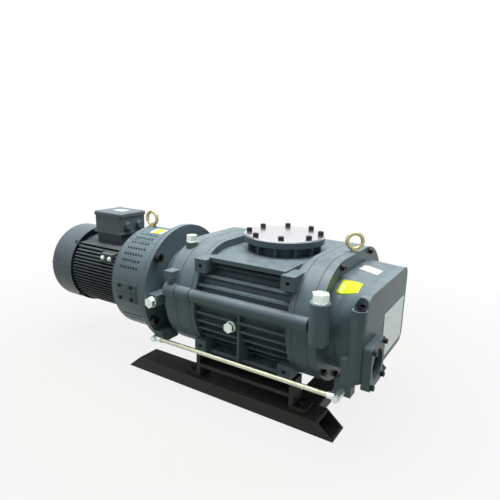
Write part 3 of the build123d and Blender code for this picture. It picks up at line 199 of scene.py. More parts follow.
def cast_paint(name, colour, rough=0.42, grain=0.00025, radius=0.0016, dust=0.25):
    """Satin paint over a casting: grain, soft edges that the paint has thinned on, and dust on top."""
    look = Finish(name, colour, rough)
    soft = look.soft_edge(radius)
    broad = look.noise(7.0, 4.0)
    patches = look.noise(38.0, 5.0, 0.6)
    fine = look.noise(520.0, 2.0)
    pits = look.noise(170.0, 3.0, 0.55)
    body = look.blend(broad.step(0.3, 0.7), shade(colour, 0.86), shade(colour, 1.12))
    worn = look.edge_mask(soft) * patches.step(0.35, 0.6) * 0.55
    edged = look.blend(worn, body, shade(colour, 1.9))
    dusty = look.facing_up() * patches.step(0.3, 0.75) * dust
    look.set("Base Color", look.blend(dusty, edged, (0.33, 0.34, 0.33)))
    look.set("Roughness", patches * 0.16 + fine * 0.08 + (rough - 0.12) + dusty * 0.25)
    look.bump(fine * 0.35 + pits, grain, soft)
    look.set("Specular IOR Level", 0.2)
    return look.material


def plain_paint(name, colour, rough, radius=0.001, scratches=0.0):
    """Paint on sheet or drawn steel: smooth, with rubbed streaks."""
    look = Finish(name, colour, rough)
    soft = look.soft_edge(radius)
    peel = look.noise(260.0, 2.0)
    rubbed = look.noise(1.0, 5.0, 0.65, look.stretched((9.0, 70.0, 70.0))).step(0.55, 0.75)
    broad = look.noise(9.0, 4.0)
    worn = look.edge_mask(soft) * broad.step(0.4, 0.6) * 0.5
    body = look.blend(broad.step(0.25, 0.75), shade(colour, 0.88), shade(colour, 1.14))
    streaked = look.blend(rubbed * scratches, body, shade(colour, 1.8))
    look.set("Base Color", look.blend(worn, streaked, shade(colour, 2.2)))
    look.set("Roughness", rough - 0.06 + rubbed * 0.1 + broad * 0.1)
    look.bump(peel, 0.00006, soft)
    look.set("Specular IOR Level", 0.22)
    return look.material


def metal(name, colour, rough, brushed=(160.0, 160.0, 160.0), depth=0.00004, dull=0.25, radius=0.0006):
    """Bare or plated metal: fine tool marks along one direction, and duller patches."""
    look = Finish(name, colour, rough, 1.0)
    soft = look.soft_edge(radius)
    marks = look.noise(1.0, 4.0, 0.7, look.stretched(brushed))
    patches = look.noise(45.0, 4.0, 0.6)
    dulled = patches.step(0.35, 0.8)
    look.set("Base Color", look.blend(dulled * dull, colour, shade(colour, 0.6)))
    look.set("Roughness", rough - 0.08 + marks * 0.12 + dulled * 0.18)
    look.bump(marks, depth, soft)
    return look.material


def turned_steel(name, colour, centre):
    """Faced disc: rings left by the tool round the centre, and hand marks."""
    look = Finish(name, colour, 0.24, 1.0)
    soft = look.soft_edge(0.0008)
    x, y, z = look.parts(look.place)
    radius = ((x - centre[0]) ** 2.0 + (y - centre[1]) ** 2.0) ** 0.5
    at = look.node("ShaderNodeCombineXYZ", None, {0: radius * 900.0, 1: 0.0, 2: z * 40.0})
    rings = look.noise(1.0, 4.0, 0.6, at)
    marks = look.noise(16.0, 4.0, 0.6)
    smears = look.noise(1.0, 5.0, 0.7, look.stretched((22.0, 8.0, 20.0))).step(0.45, 0.7)
    look.set("Base Color", look.blend(smears * 0.3, colour, shade(colour, 0.72)))
    look.set("Roughness", rings * 0.12 + marks * 0.16 + 0.1)
    look.bump(rings, 0.00003, soft)
    return look.material


def laminations(name, colour):
    """Stacked sheet edges along the shaft."""
    look = Finish(name, colour, 0.42, 0.8)
    x, _, _ = look.parts(look.place)
    rows = look.node("ShaderNodeMath", {"operation": "PINGPONG"}, {0: x * 900.0, 1: 0.5})
    look.set("Base Color", look.blend(rows, shade(colour, 0.6), colour))
    look.bump(rows, 0.0002)
    return look.material


def coil_wire(name, colour):
    """Varnished copper wire wound in rings."""
    look = Finish(name, colour, 0.3, 0.9)
    wires = look.noise(1.0, 2.0, 0.5, look.stretched((60.0, 500.0, 500.0)))
    look.set("Base Color", look.blend(wires.step(0.35, 0.65), shade(colour, 0.5), colour))
    look.bump(wires, 0.0004)
    return look.material


def dull_solid(name, colour, rough, scale=300.0, depth=0.0001):
    """Rubber or moulded plastic with a fine grain."""
    look = Finish(name, colour, rough)
    soft = look.soft_edge(0.0006)
    grain = look.noise(scale, 3.0)
    broad = look.noise(14.0, 3.0)
    look.set("Base Color", look.blend(broad, shade(colour, 0.8), shade(colour, 1.25)))
    look.set("Roughness", rough - 0.05 + grain * 0.1)
    look.bump(grain, depth, soft)
    return look.material


def gauge_glass(name, colour, level):
    """Sight glass with oil behind its lower part."""
    look = Finish(name, colour, 0.06)
    _, _, z = look.parts(look.place)
    ripple = look.noise(30.0, 2.0) * 0.003
    oil = (level - z + ripple).step(-0.0006, 0.0006)
    look.set("Base Color", look.blend(oil, colour, (0.05, 0.022, 0.006)))
    look.set("Coat Weight", 1.0)
    look.set("Coat Roughness", 0.03)
    return look.material


def label_film(name, colour, edge):
    """Plain printed film, a little dirty at its rim."""
    look = Finish(name, colour, 0.38)
    dirt = look.noise(60.0, 5.0, 0.65)
    faded = look.noise(18.0, 3.0)
    body = look.blend(faded.step(0.35, 0.75) * 0.4, colour, shade(colour, 0.86))
    look.set("Base Color", look.blend(dirt.step(0.56, 0.72) * 0.35, body, edge))
    look.set("Roughness", dirt * 0.2 + 0.3)
    look.bump(look.noise(120.0, 2.0), 0.00008)
    return look.material


def stage_floor(name, colour, near, far, spread):
    """Pale floor that shines towards the camera, more so where it is far from the pump."""
    look = Finish(name, colour, 0.9)
    path = look.tree.nodes.new("ShaderNodeLightPath")
    camera, glossy = (Wire(look, path.outputs[name]) for name in ("Is Camera Ray", "Is Glossy Ray"))
    seen = look.node("ShaderNodeMath", {"operation": "MAXIMUM"}, {0: camera, 1: glossy})
    x, y, _ = look.parts(look.place)
    distance = ((x - spread[0]) ** 2.0 + y ** 2.0) ** 0.5
    glow = distance.step(spread[1], spread[2]) * (far - near) + near
    light = look.node("ShaderNodeEmission", None, {"Color": (1.0, 1.0, 1.0, 1.0), "Strength": 1.0})
    mixed = look.node("ShaderNodeMixShader", None,
                      {0: seen * glow, 1: Wire(look, look.shader.outputs[0]), 2: light})
    look.feed(look.tree.nodes["Material Output"].inputs["Surface"], mixed)
    return look.material


# ---- what a user may change ---------------------------------------------------------------------
def colour_choice(name, description, default):
    """A colour property."""
    return FloatVectorProperty(name=name, description=description, default=default, subtype="COLOR",
                               size=3, min=0.0, max=1.0)


def length_choice(name, description, default):
    """A length property in metres."""
    return FloatProperty(name=name, description=description, default=default, subtype="DISTANCE",
                         unit="LENGTH", min=0.0)


class PumpFinish(bpy.types.PropertyGroup):
    """Colours of the pump."""
    casting: colour_choice("Casting paint", "Satin paint of the pump's castings", (0.088, 0.128, 0.146))
    motor: colour_choice("Motor paint", "Paint of the motor, cowl and terminal box", (0.082, 0.108, 0.122))
    rail: colour_choice("Rail paint", "Dark paint of the skid", (0.028, 0.030, 0.026))
    zinc: colour_choice("Zinc", "Clear zinc of the plugs", (0.66, 0.74, 0.69))
    yellow_zinc: colour_choice("Yellow zinc", "Passivated zinc of the eyebolts", (0.44, 0.40, 0.22))
    label: colour_choice("Label", "Blank yellow label", (0.50, 0.62, 0.002))
    plate: colour_choice("Plate", "Bare plate on the gear cover", (0.50, 0.56, 0.55))


class PumpTrim(bpy.types.PropertyGroup):
    """Sizes of the labels, plates and small fittings."""
    plate_radius: length_choice("End plate radius", "Ends of the oval end plates", 0.155)
    cowl_radius: length_choice("Cowl radius", "Outside of the fan cowl", 0.1285)
    sheet: length_choice("Sheet thickness", "Inspection bands and cowl air guide", 0.0012)
    film: length_choice("Film thickness", "How far a label stands off the paint", 0.0004)
    label_width: length_choice("Label width", "Yellow label along the curve", 0.048)
    label_length: length_choice("Label length", "Yellow label along the shafts", 0.048)
    plate_thickness: length_choice("Plate thickness", "Plate on the end of the gear cover", 0.0012)
    rivet: length_choice("Rivet radius", "Rivets of the plate", 0.0026)
    lantern_radius: length_choice("Lantern radius", "Outside of the coupling lantern's wall", 0.157)
    vent: length_choice("Vent", "Side of a square vent in the lantern", 0.0072)
    vent_pitch: length_choice("Vent pitch", "Vent to vent along the shaft", 0.0105)
    joint: length_choice("Joint line", "Width of the joint lines between castings", 0.0016)
    bolt: length_choice("Bolt size", "Across flats of the lantern's cover screws", 0.009)


class PumpStudio(bpy.types.PropertyGroup):
    """Camera and light."""
    place: FloatVectorProperty(name="Camera place", description="Where the camera stands", size=3,
                               default=(0.5823, -1.1140, 0.6825), subtype="TRANSLATION", unit="LENGTH")
    turn: FloatVectorProperty(name="Camera turn", description="Yaw, pitch down and roll", size=3,
                              default=(radians(31.97), radians(13.62), radians(1.39)), subtype="EULER",
                              unit="ROTATION")
    lens: FloatProperty(name="Lens", description="Focal length on a 36 mm sensor", default=32.85,
                        subtype="DISTANCE_CAMERA", min=1.0)
    key: FloatProperty(name="Key light", description="Power of the key light", default=52.0, unit="POWER",
                       min=0.0)


# ---- shapes -------------------------------------------------------------------------------------
def finished(bm, name, material, body=BODY, smooth=True):
    """Turns a bmesh into a piece at the origin that rides a body."""
    bmesh.ops.recalc_face_normals(bm, faces=bm.faces)
    mesh = bpy.data.meshes.new(name)
    bm.to_mesh(mesh)
    bm.free()
    if smooth:
        mesh.shade_smooth()
    else:
        mesh.shade_flat()
    piece = bpy.data.objects.new(name, mesh)
    bpy.context.scene.collection.objects.link(piece)
    mesh.materials.append(material)
    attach(piece, body)
    return piece


def skin(node):
    """Surface of a node for finding where a label lies."""
    made = frame["nodes"][node]
    bm = bmesh.new()
    bm.from_mesh(made.data)
    tree = BVHTree.FromBMesh(bm)
    bm.free()
    return tree


def looking(along, up):
    """Turn that carries local X along one direction and local Z along another."""
    z = Vector(up).normalized()
    x = (Vector(along) - z * Vector(along).dot(z)).normalized()
    return Matrix((x, z.cross(x), z)).transposed().to_4x4()


def film_on(node, centre, along, away, size, standoff, corner=0.12, cells=14):
    """A rounded label laid on a node's surface: a grid carried down onto it and given a thickness."""
    tree = skin(node)
    turn = looking(along, away)
    bm = bmesh.new()
    bmesh.ops.create_grid(bm, x_segments=cells, y_segments=cells, size=0.5)
    tips = [v for v in bm.verts if abs(v.co.x) > 0.49 and abs(v.co.y) > 0.49]
    drawn_in = 1.0 - corner * 0.3
    bmesh.ops.scale(bm, verts=tips, vec=(drawn_in, drawn_in, 1.0))
    bmesh.ops.scale(bm, verts=bm.verts, vec=(size[0], size[1], 1.0))
    bmesh.ops.transform(bm, matrix=Matrix.Translation(centre) @ turn, verts=bm.verts)
    out = Vector(away).normalized()
    clear = 0.2
    for v in bm.verts:
        hit, _, _, _ = tree.ray_cast(v.co + out * clear, -out)
        if hit is None:
            raise RuntimeError(f"no surface of {node} under a label")
        v.co = hit + out * standoff
    return bm


def outer_shell(node):
    """Copy of a node's mesh with its points joined, without what is closed inside its walls."""
    bm = bmesh.new()
    bm.from_mesh(frame["nodes"][node].data)
    bmesh.ops.remove_doubles(bm, verts=bm.verts, dist=1e-6)
    waiting, shells = set(bm.verts), []
    while waiting:
        shell, edge = set(), [waiting.pop()]
        while edge:
            v = edge.pop()
            shell.add(v)
            near = {e.other_vert(v) for e in v.link_edges} & waiting
            waiting -= near
            edge.extend(near)
        shells.append(shell)
    kept = max(shells, key=len)
    bmesh.ops.delete(bm, geom=[v for v in bm.verts if v not in kept], context="VERTS")
    return bm


def pierced(bm, punches, name, material, angle=0.6):
    """Cuts punches out of a shell, and returns it as a piece at the origin."""
    body = finished(bm, name, material)
    mesh = bpy.data.meshes.new("punches")
    punches.to_mesh(mesh)
    punches.free()
    tool = bpy.data.objects.new("punches", mesh)
    bpy.context.scene.collection.objects.link(tool)
    cut = body.modifiers.new("punched", "BOOLEAN")
    cut.object, cut.operation, cut.solver = tool, "DIFFERENCE", "EXACT"
    shaped = bpy.data.meshes.new_from_object(body.evaluated_get(bpy.context.evaluated_depsgraph_get()))
    body.modifiers.clear()
    plain = body.data
    body.data = shaped
    bpy.data.objects.remove(tool)
    for spare in (plain, mesh):
        bpy.data.meshes.remove(spare)
    shaped.shade_smooth()
    shaped.set_sharp_from_angle(angle=angle)
    even = body.modifiers.new("even_shading", "WEIGHTED_NORMAL")
    even.keep_sharp, even.weight = True, 90
    return body


def edges_of(verts):
    """Every edge that ends at one of the points."""
    return list({e for v in verts for e in v.link_edges})


def box_at(bm, size, place, turn=None):
    """Adds a box with its middle at a place, and returns its points."""
    matrix = Matrix.Translation(place) @ (turn or Matrix()) @ Matrix.Diagonal((*size, 1.0))
    return bmesh.ops.create_cube(bm, size=1.0, matrix=matrix)["verts"]


def soften(bm, edges, width, segments=2):
    """Rounds edges."""
    bmesh.ops.bevel(bm, geom=edges, offset=width, segments=segments, profile=0.5, affect="EDGES",
                    material=-1)


def oval_loop(bm, x, centre, reach, radius, segments=96):
    """Closed loop of edges round two shafts, square to X, with no point halfway between them."""
    half_step = Matrix.Rotation(pi / segments, 4, "Z")
    turn = Matrix.Translation((x, *centre)) @ Matrix.Rotation(pi / 2, 4, "Y") @ half_step
    made = bmesh.ops.create_circle(bm, segments=segments, radius=radius, matrix=turn)["verts"]
    for side in (-1, 1):
        half = [v for v in made if (v.co.y - centre[0]) * side > 0.0]
        bmesh.ops.translate(bm, verts=half, vec=(0.0, side * reach, 0.0))
    return edges_of(made)


def band(name, x, width, centre, reach, radius, thick, material):
    """Thin band round a casting, such as the compound squeezed out of a joint."""
    bm = bmesh.new()
    edges = oval_loop(bm, x - width / 2, centre, reach, radius)
    grown = bmesh.ops.extrude_edge_only(bm, edges=edges)["geom"]
    far_side = [g for g in grown if isinstance(g, bmesh.types.BMVert)]
    bmesh.ops.translate(bm, verts=far_side, vec=(width, 0.0, 0.0))
    thicken(finished(bm, name, material), thick)


def thicken(piece, thickness, edge=0.0):
    """Gives a sheet its thickness, and a small bevel."""
    wall = piece.modifiers.new("thickness", "SOLIDIFY")
    wall.thickness, wall.offset = thickness, 0.0
    if edge:
        trim = piece.modifiers.new("edge", "BEVEL")
        trim.width, trim.segments, trim.limit_method = edge, 2, "ANGLE"


def turned_out(angle):
    """Direction away from the drive shaft, in degrees from the rear over the top."""
    return Vector((0.0, cos(radians(angle)), sin(radians(angle))))


def off_shaft(x, out, distance):
    """Point that far from the drive shaft's axis, along a direction square to it."""
    return Vector((x, SHAFT.y, SHAFT.z)) + out * distance


def disc_bolt(bm, centre, away, flats, height, washer):
    """Adds a hexagon head on a washer, seated at a point."""
    washer_thick = 0.0012
    corner = flats / 1.732
    turn = Matrix.Translation(centre) @ looking(Vector(away).orthogonal(), away)
    bmesh.ops.create_cone(bm, cap_ends=True, segments=20, radius1=washer, radius2=washer, depth=washer_thick,
                          matrix=turn @ Matrix.Translation((0, 0, washer_thick / 2)))
    head = bmesh.ops.create_cone(bm, cap_ends=True, segments=6, radius1=corner, radius2=corner, depth=height,
                                 matrix=turn @ Matrix.Translation((0, 0, washer_thick + height / 2)))["verts"]
    back = turn.inverted()
    top = [e for e in edges_of(head) if all((back @ v.co).z > 0.001 + height for v in e.verts)]
    soften(bm, top, height * 0.16)


# ---- operators ----------------------------------------------------------------------------------
FINISHES = {}


class PUMP_OT_finishes(bpy.types.Operator):
    """Make every finish and give it to the pump's own pieces"""
    bl_idname = "pump.finishes"
    bl_label = "Finishes"

    def execute(self, context):
        look = context.scene.pump_finish
        glass_low, glass_high = corners("sight_glass")
        blank_low, blank_high = corners("inlet_blank_plate")
        FINISHES.update({
            "casting": cast_paint("casting_paint", tuple(look.casting)),
            "cover": cast_paint("cover_paint", shade(look.casting, 1.06), rough=0.38, grain=0.00012),
            "sheet": plain_paint("motor_sheet_paint", tuple(look.motor), 0.36),
            # The finned motor frame takes the motor paint at 0.6 of its brightness: partly the frame's own
            # slightly darker tone, partly painted shade standing in for the shade between its fins.
            "motor": cast_paint("motor_tone_and_fin_shade_paint", shade(look.motor, 0.6), rough=0.45, grain=0.00015),
            "rail": plain_paint("rail_paint", tuple(look.rail), 0.5, 0.0014, 0.35),
            "black": plain_paint("black_screws", (0.012, 0.012, 0.014), 0.34, 0.0006),
            "zinc": metal("zinc_plugs", tuple(look.zinc), 0.36, radius=0.0009),
            "yellow": metal("eyebolt_zinc", tuple(look.yellow_zinc), 0.34),
            "bright": turned_steel("faced_blank", (0.74, 0.74, 0.77), (blank_low + blank_high) / 2),
            "pipe": metal("drawn_pipe", (0.52, 0.54, 0.42), 0.34, (20.0, 500.0, 500.0), dull=0.5),
            "ground": metal("ground_steel", (0.56, 0.57, 0.58), 0.26, (40.0, 300.0, 300.0)),
            "machined": metal("machined_iron", (0.36, 0.36, 0.37), 0.4, (30.0, 260.0, 260.0), 0.00006),
            "lamination": laminations("laminated_core", (0.34, 0.35, 0.37)),
            "copper": coil_wire("coil_wire", (0.45, 0.17, 0.07)),
            "rubber": dull_solid("seal_rubber", (0.018, 0.018, 0.019), 0.6),
            "compound": dull_solid("joint_compound", (0.012, 0.014, 0.015), 0.7),
            "plastic": dull_solid("fan_plastic", (0.03, 0.03, 0.032), 0.5, 420.0, 0.00005),
            "bakelite": dull_solid("terminal_block", (0.09, 0.05, 0.03), 0.4),
            "glass": gauge_glass("sight_glass", (0.035, 0.04, 0.04), (glass_low.z + glass_high.z) / 2),
            "label": label_film("yellow_film", tuple(look.label), (0.40, 0.42, 0.02)),
            "white": label_film("white_film", (0.62, 0.64, 0.61), (0.5, 0.5, 0.46)),
            "dull": label_film("pale_grey_film", (0.42, 0.47, 0.48), (0.3, 0.33, 0.33)),
            "plate": metal("bare_plate", tuple(look.plate), 0.42, (30.0, 30.0, 300.0), 0.00002, 0.12),
        })
        by_slot = {"slate_paint": "casting", "rail_paint": "rail", "cast_machined": "machined",
                   "forged_steel": "ground", "bright_steel": "bright", "black_steel": "black",
                   "zinc_plug": "zinc", "yellow_zinc": "yellow", "seal_rubber": "rubber",
                   "copper_winding": "copper", "electrical_steel": "lamination", "fan_plastic": "plastic",
                   "terminal_plastic": "bakelite", "oil_glass": "glass"}
        by_node = {"fan_cowl": "sheet", "terminal_box": "sheet", "terminal_box_lid": "sheet",
                   "motor_frame": "motor", "motor_drive_shield": "motor", "motor_tail_shield": "motor",
                   "gear_cover": "cover", "drive_side_cover": "cover", "coupling_lantern": "cover",
                   "balance_pipe": "pipe", "cable_entry_plugs": "sheet"}
        slots = {row["node"]: row["material_slot"] for row in frame["record"]["subparts"]}
        for name, made in frame["nodes"].items():
            material = FINISHES[by_node.get(name) or by_slot[slots[name]]]
            if not made.material_slots:
                made.data.materials.append(material)
            for place in made.material_slots:
                place.material = material
        return {"FINISHED"}


class PUMP_OT_labels(bpy.types.Operator):
    """Lay the blank labels on the castings, and a pale grey film on the terminal box lid"""
    bl_idname = "pump.labels"
    bl_label = "Labels"

    def execute(self, context):
        trim = context.scene.pump_trim
        along_shaft = (1, 0, 0)
        cover_shoulder = (0.35, -0.55, 0.80)
        lantern_top = (0, -0.2, 0.98)
        lantern_label_width = 0.034
        # piece, casting, centre, direction along it, direction away from it, size, finish, layer
        rows = (
            ("label_gear_cover", "gear_cover", (0.240, -0.125, 0.340), (1, -0.05, -0.06), cover_shoulder,
             (trim.label_length, trim.label_width), "label", 1),
            ("label_gear_cover_top", "gear_cover", (0.250, 0.005, 0.365), along_shaft, (0.1, 0, 1),
             (0.052, 0.046), "white", 1),
            ("label_lantern", "coupling_lantern", (-0.373, -0.108, 0.405), along_shaft, lantern_top,
             (0.046, lantern_label_width), "white", 1),
            ("label_lantern_middle", "coupling_lantern", (-0.371, -0.108, 0.405), along_shaft, lantern_top,
             (0.023, lantern_label_width), "label", 2),
            # A pale grey film on the terminal box lid, lighter than the lid's paint.
            ("box_lid_pale_film", "terminal_box_lid", (-0.571, -0.075, 0.450), along_shaft, (0, 0, 1),
             (0.050, 0.036), "dull", 1),
        )
        for name, node, centre, along, away, size, finish, layer in rows:
            bm = film_on(node, Vector(centre), along, away, size, trim.film * layer)
            thicken(finished(bm, name, FINISHES[finish]), trim.film)
        return {"FINISHED"}


class PUMP_OT_plate(bpy.types.Operator):
    """Fix the bare plate on the end of the gear cover"""
    bl_idname = "pump.plate"
    bl_label = "Bare plate"

    def execute(self, context):
        trim = context.scene.pump_trim
        thick = trim.plate_thickness
        face_x = corners("sight_glass_frame")[0].x
        front, rear, bottom, top = -0.058, 0.122, 0.158, 0.278
        corner_radius, rim_bevel = 0.006, 0.0004
        rivet_inset, rivet_dome = 0.009, 0.7
        bm = bmesh.new()
        box_at(bm, (thick, rear - front, top - bottom),
               (face_x + thick / 2, (front + rear) / 2, (bottom + top) / 2))
        through = [e for e in bm.edges if abs((e.verts[0].co - e.verts[1].co).x) > thick / 2]
        soften(bm, through, corner_radius, 4)
        rim = [e for e in bm.edges if all(v.co.x > face_x + thick * 0.9 for v in e.verts)]
        soften(bm, rim, rim_bevel)
        finished(bm, "bare_plate", FINISHES["plate"], smooth=False)
        bm = bmesh.new()
        for y in (front + rivet_inset, rear - rivet_inset):
            for z in (bottom + rivet_inset, top - rivet_inset):
                seat = Matrix.Translation((face_x + thick, y, z)) @ Matrix.Diagonal((rivet_dome, 1, 1, 1))
                bmesh.ops.create_uvsphere(bm, u_segments=14, v_segments=8, radius=trim.rivet, matrix=seat)
        finished(bm, "plate_rivets", FINISHES["ground"])
        return {"FINISHED"}


class PUMP_OT_lantern(bpy.types.Operator):
    """Punch the rows of vents through the lantern's wall"""
    bl_idname = "pump.lantern"
    bl_label = "Lantern vents"

    def execute(self, context):
        trim = context.scene.pump_trim
        low, _ = corners("coupling_lantern")
        first_row, row_step, row_count = 156.0, 7.5, 7
        low_rows = [212.0, 219.0]
        first_column, column_count = low.x + 0.024, 7
        punch = (trim.vent * 0.78, trim.vent, 0.040)
        angles = [first_row - row_step * row for row in range(row_count)] + low_rows
        punches = bmesh.new()
        for angle in angles + [180.0 - near for near in angles]:
            out = turned_out(angle)
            for column in range(column_count):
                at = off_shaft(first_column + column * trim.vent_pitch, out, trim.lantern_radius)
                box_at(punches, punch, at, looking((1, 0, 0), out))
        piece = pierced(outer_shell("coupling_lantern"), punches, "vented_lantern", FINISHES["cover"])
        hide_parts("coupling_lantern")
        return {"FINISHED"}


class PUMP_OT_joints(bpy.types.Operator):
    """Lay the joint lines between the castings and close the gap behind the motor"""
    bl_idname = "pump.joints"
    bl_label = "Joint lines"

    def execute(self, context):
        trim = context.scene.pump_trim
        low, high = corners("gear_end_plate")
        drive_low, drive_high = corners("drive_end_plate")
        centre, reach, thick = (0.0, SHAFT.z), abs(SHAFT.y), 0.0004
        for name, x in (("drive_cover_joint", drive_low.x), ("drive_plate_joint", drive_high.x),
                        ("gear_plate_joint", low.x), ("gear_cover_joint", high.x)):
            band(name, x, trim.joint, centre, reach, trim.plate_radius, thick, FINISHES["compound"])
        tail, _ = corners("motor_tail_shield")
        off_shield, mouth_radius = 0.0012, 0.097
        rim_radius = trim.cowl_radius - 0.0030
        bm = bmesh.new()
        turn = Matrix.Translation((tail.x - off_shield, SHAFT.y, SHAFT.z)) @ Matrix.Rotation(pi / 2, 4, "Y")
        rim = bmesh.ops.create_circle(bm, segments=96, radius=rim_radius, matrix=turn)["verts"]
        face = bmesh.ops.contextual_create(bm, geom=edges_of(rim))["faces"]
        bmesh.ops.inset_region(bm, faces=face, thickness=rim_radius - mouth_radius, depth=0.0,
                               use_boundary=True)
        bmesh.ops.delete(bm, geom=face, context="FACES_ONLY")
        # The air guide takes the darker motor frame paint, which carries painted shade for the fins.
        thicken(finished(bm, "cowl_air_guide", FINISHES["motor"]), trim.sheet)
        return {"FINISHED"}


class PUMP_OT_lantern_cover(bpy.types.Operator):
    """Screw the two inspection bands onto the lantern, with the rim beside the disc"""
    bl_idname = "pump.lantern_cover"
    bl_label = "Lantern inspection bands"

    def execute(self, context):
        trim = context.scene.pump_trim
        low, high = corners("coupling_lantern")
        radius = trim.lantern_radius
        start, end, edge_bevel = low.x + 0.012, low.x + 0.098, 0.0003
        for name, first, last in (("lantern_band_upper", 172.5, 182.5), ("lantern_band_lower", 183.3, 194.0)):
            bm = bmesh.new()
            out = turned_out(first)
            ends = [bmesh.ops.create_vert(bm, co=off_shaft(x, out, radius + trim.sheet / 2))["vert"][0]
                    for x in (start, end)]
            edge = bmesh.ops.contextual_create(bm, geom=ends)["edges"]
            bmesh.ops.spin(bm, geom=ends + edge, cent=SHAFT, axis=(1, 0, 0), angle=radians(last - first),
                           steps=8, use_merge=False, use_duplicate=False)
            thicken(finished(bm, name, FINISHES["cover"]), trim.sheet, edge_bevel)
        rim_x, rim_width, rim_lift, rim_thick = high.x - 0.020, 0.012, 0.0006, 0.0016
        band("lantern_rim", rim_x, rim_width, (SHAFT.y, SHAFT.z), 0.0, radius + rim_lift, rim_thick,
             FINISHES["cover"])
        screw_height, washer = 0.004, 0.0065
        bm = bmesh.new()
        for x in (low.x + 0.031, low.x + 0.077):
            for angle in (176.0, 190.0):
                out = turned_out(angle)
                disc_bolt(bm, off_shaft(x, out, radius + trim.sheet), out, trim.bolt, screw_height, washer)
        finished(bm, "lantern_band_screws", FINISHES["black"], smooth=False)
        return {"FINISHED"}


class PUMP_OT_motor_trim(bpy.types.Operator):
    """Add the motor's pad screws and the cowl's folded seam"""
    bl_idname = "pump.motor_trim"
    bl_label = "Motor trim"

    def execute(self, context):
        trim = context.scene.pump_trim
        _, high = corners("motor_frame")
        pad_y, pad_z = SHAFT.y - 0.112, SHAFT.z + 0.065
        flats, height, washer = 0.010, 0.005, 0.0072
        bm = bmesh.new()
        for x in (high.x - 0.063, high.x - 0.033):
            disc_bolt(bm, Vector((x, pad_y, pad_z)), (0, -1, 0), flats, height, washer)
        finished(bm, "motor_pad_screws", FINISHES["zinc"], smooth=False)
        low, high = corners("fan_cowl")
        seam = (high.x - low.x - 0.010, 0.0032, 0.0012)
        middle_x = (low.x + high.x) / 2 + 0.003
        for name, angle in (("cowl_seam_front", 173.0), ("cowl_seam_rear", 7.0)):
            out = turned_out(angle)
            bm = bmesh.new()
            box_at(bm, seam, off_shaft(middle_x, out, trim.cowl_radius), looking((1, 0, 0), out))
            soften(bm, bm.edges[:], 0.0004)
            finished(bm, name, FINISHES["sheet"])
        return {"FINISHED"}


class PUMP_OT_skid_ties(bpy.types.Operator):
    """Weld the wide hollow ties between the rails"""
    bl_idname = "pump.skid_ties"
    bl_label = "Skid ties"

    def execute(self, context):
        low, high = corners("skid_rail_front")
        inner = abs(high.y)
        tie_x, tie_width, wall, hollow_depth, corner_radius = 0.160, 0.070, 0.004, 0.050, 0.003
        bm = bmesh.new()
        for x in (-tie_x, tie_x):
            tie = box_at(bm, (tie_width, 2 * inner, high.z - low.z), (x, 0.0, (low.z + high.z) / 2))
            ends = [f for f in {f for v in tie for f in v.link_faces} if abs(f.normal.y) > 0.9]
            bmesh.ops.inset_individual(bm, faces=ends, thickness=wall, depth=-hollow_depth)
            along = [e for e in edges_of(tie) if abs((e.verts[0].co - e.verts[1].co).y) > inner]
            soften(bm, along, corner_radius, 3)
        piece = finished(bm, "skid_tie_boxes", FINISHES["rail"], smooth=False)
        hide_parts("skid_cross_members")
        return {"FINISHED"}


def lit_floor():
    """Pale floor under the pump."""
    half_side = 30.0
    bm = bmesh.new()
    bmesh.ops.create_grid(bm, x_segments=1, y_segments=1, size=half_side)
    mesh = bpy.data.meshes.new("studio_floor")
    bm.to_mesh(mesh)
    bm.free()
    floor = bpy.data.objects.new("studio_floor", mesh)
    mesh.materials.append(stage_floor("studio_floor", (0.20, 0.22, 0.16), 0.86, 1.0, (-0.2, 0.55, 1.5)))
    bpy.context.scene.collection.objects.link(floor)


def white_world():
    """World that looks white and lights the pump only faintly."""
    world = bpy.data.worlds.new("studio_world")
    world.use_nodes = True
    nodes, links = world.node_tree.nodes, world.node_tree.links
    path = nodes.new("ShaderNodeLightPath")
    seen = nodes.new("ShaderNodeMath")
    seen.operation = "ADD"
    seen.use_clamp = True
    both = nodes.new("ShaderNodeMath")
    both.operation = "MAXIMUM"
    links.new(path.outputs["Is Camera Ray"], both.inputs[0])
    links.new(path.outputs["Is Glossy Ray"], both.inputs[1])
    links.new(both.outputs[0], seen.inputs[0])
    links.new(path.outputs["Is Transmission Ray"], seen.inputs[1])
    dome, white = nodes["Background"], nodes.new("ShaderNodeBackground")
    for sky, colour, strength in ((dome, (0.88, 0.95, 1.0, 1.0), 0.14), (white, (1.0, 1.0, 1.0, 1.0), 1.0)):
        sky.inputs["Color"].default_value = colour
        sky.inputs["Strength"].default_value = strength
    mixer = nodes.new("ShaderNodeMixShader")
    links.new(seen.outputs[0], mixer.inputs[0])
    links.new(dome.outputs[0], mixer.inputs[1])
    links.new(white.outputs[0], mixer.inputs[2])
    links.new(mixer.outputs[0], nodes["World Output"].inputs["Surface"])
    bpy.context.scene.world = world


def area_lamp(name, place, target, side, power):
    """Square lamp aimed at a point."""
    lamp = bpy.data.lights.new(name, "AREA")
    lamp.shape, lamp.size, lamp.energy = "SQUARE", side, power
    holder = bpy.data.objects.new(name, lamp)
    holder.location = place
    holder.rotation_euler = (target - Vector(place)).to_track_quat("-Z", "Y").to_euler()
    bpy.context.scene.collection.objects.link(holder)


def camera_at(place, yaw, pitch, roll, lens):
    """Camera turned from looking along +Y by yaw, then down by pitch, then by roll."""
    camera = bpy.data.cameras.new("studio_camera")
    camera.lens, camera.sensor_width, camera.clip_start = lens, 36.0, 0.01
    viewer = bpy.data.objects.new("studio_camera", camera)
    forward = Vector((-sin(yaw) * cos(pitch), cos(yaw) * cos(pitch), -sin(pitch)))
    right = Vector((cos(yaw), sin(yaw), 0.0))
    up = right.cross(forward)
    axes = (right * cos(roll) + up * sin(roll), up * cos(roll) - right * sin(roll), -forward)
    viewer.matrix_world = Matrix.Translation(place) @ Matrix(axes).transposed().to_4x4()
    bpy.context.scene.collection.objects.link(viewer)
    bpy.context.scene.camera = viewer


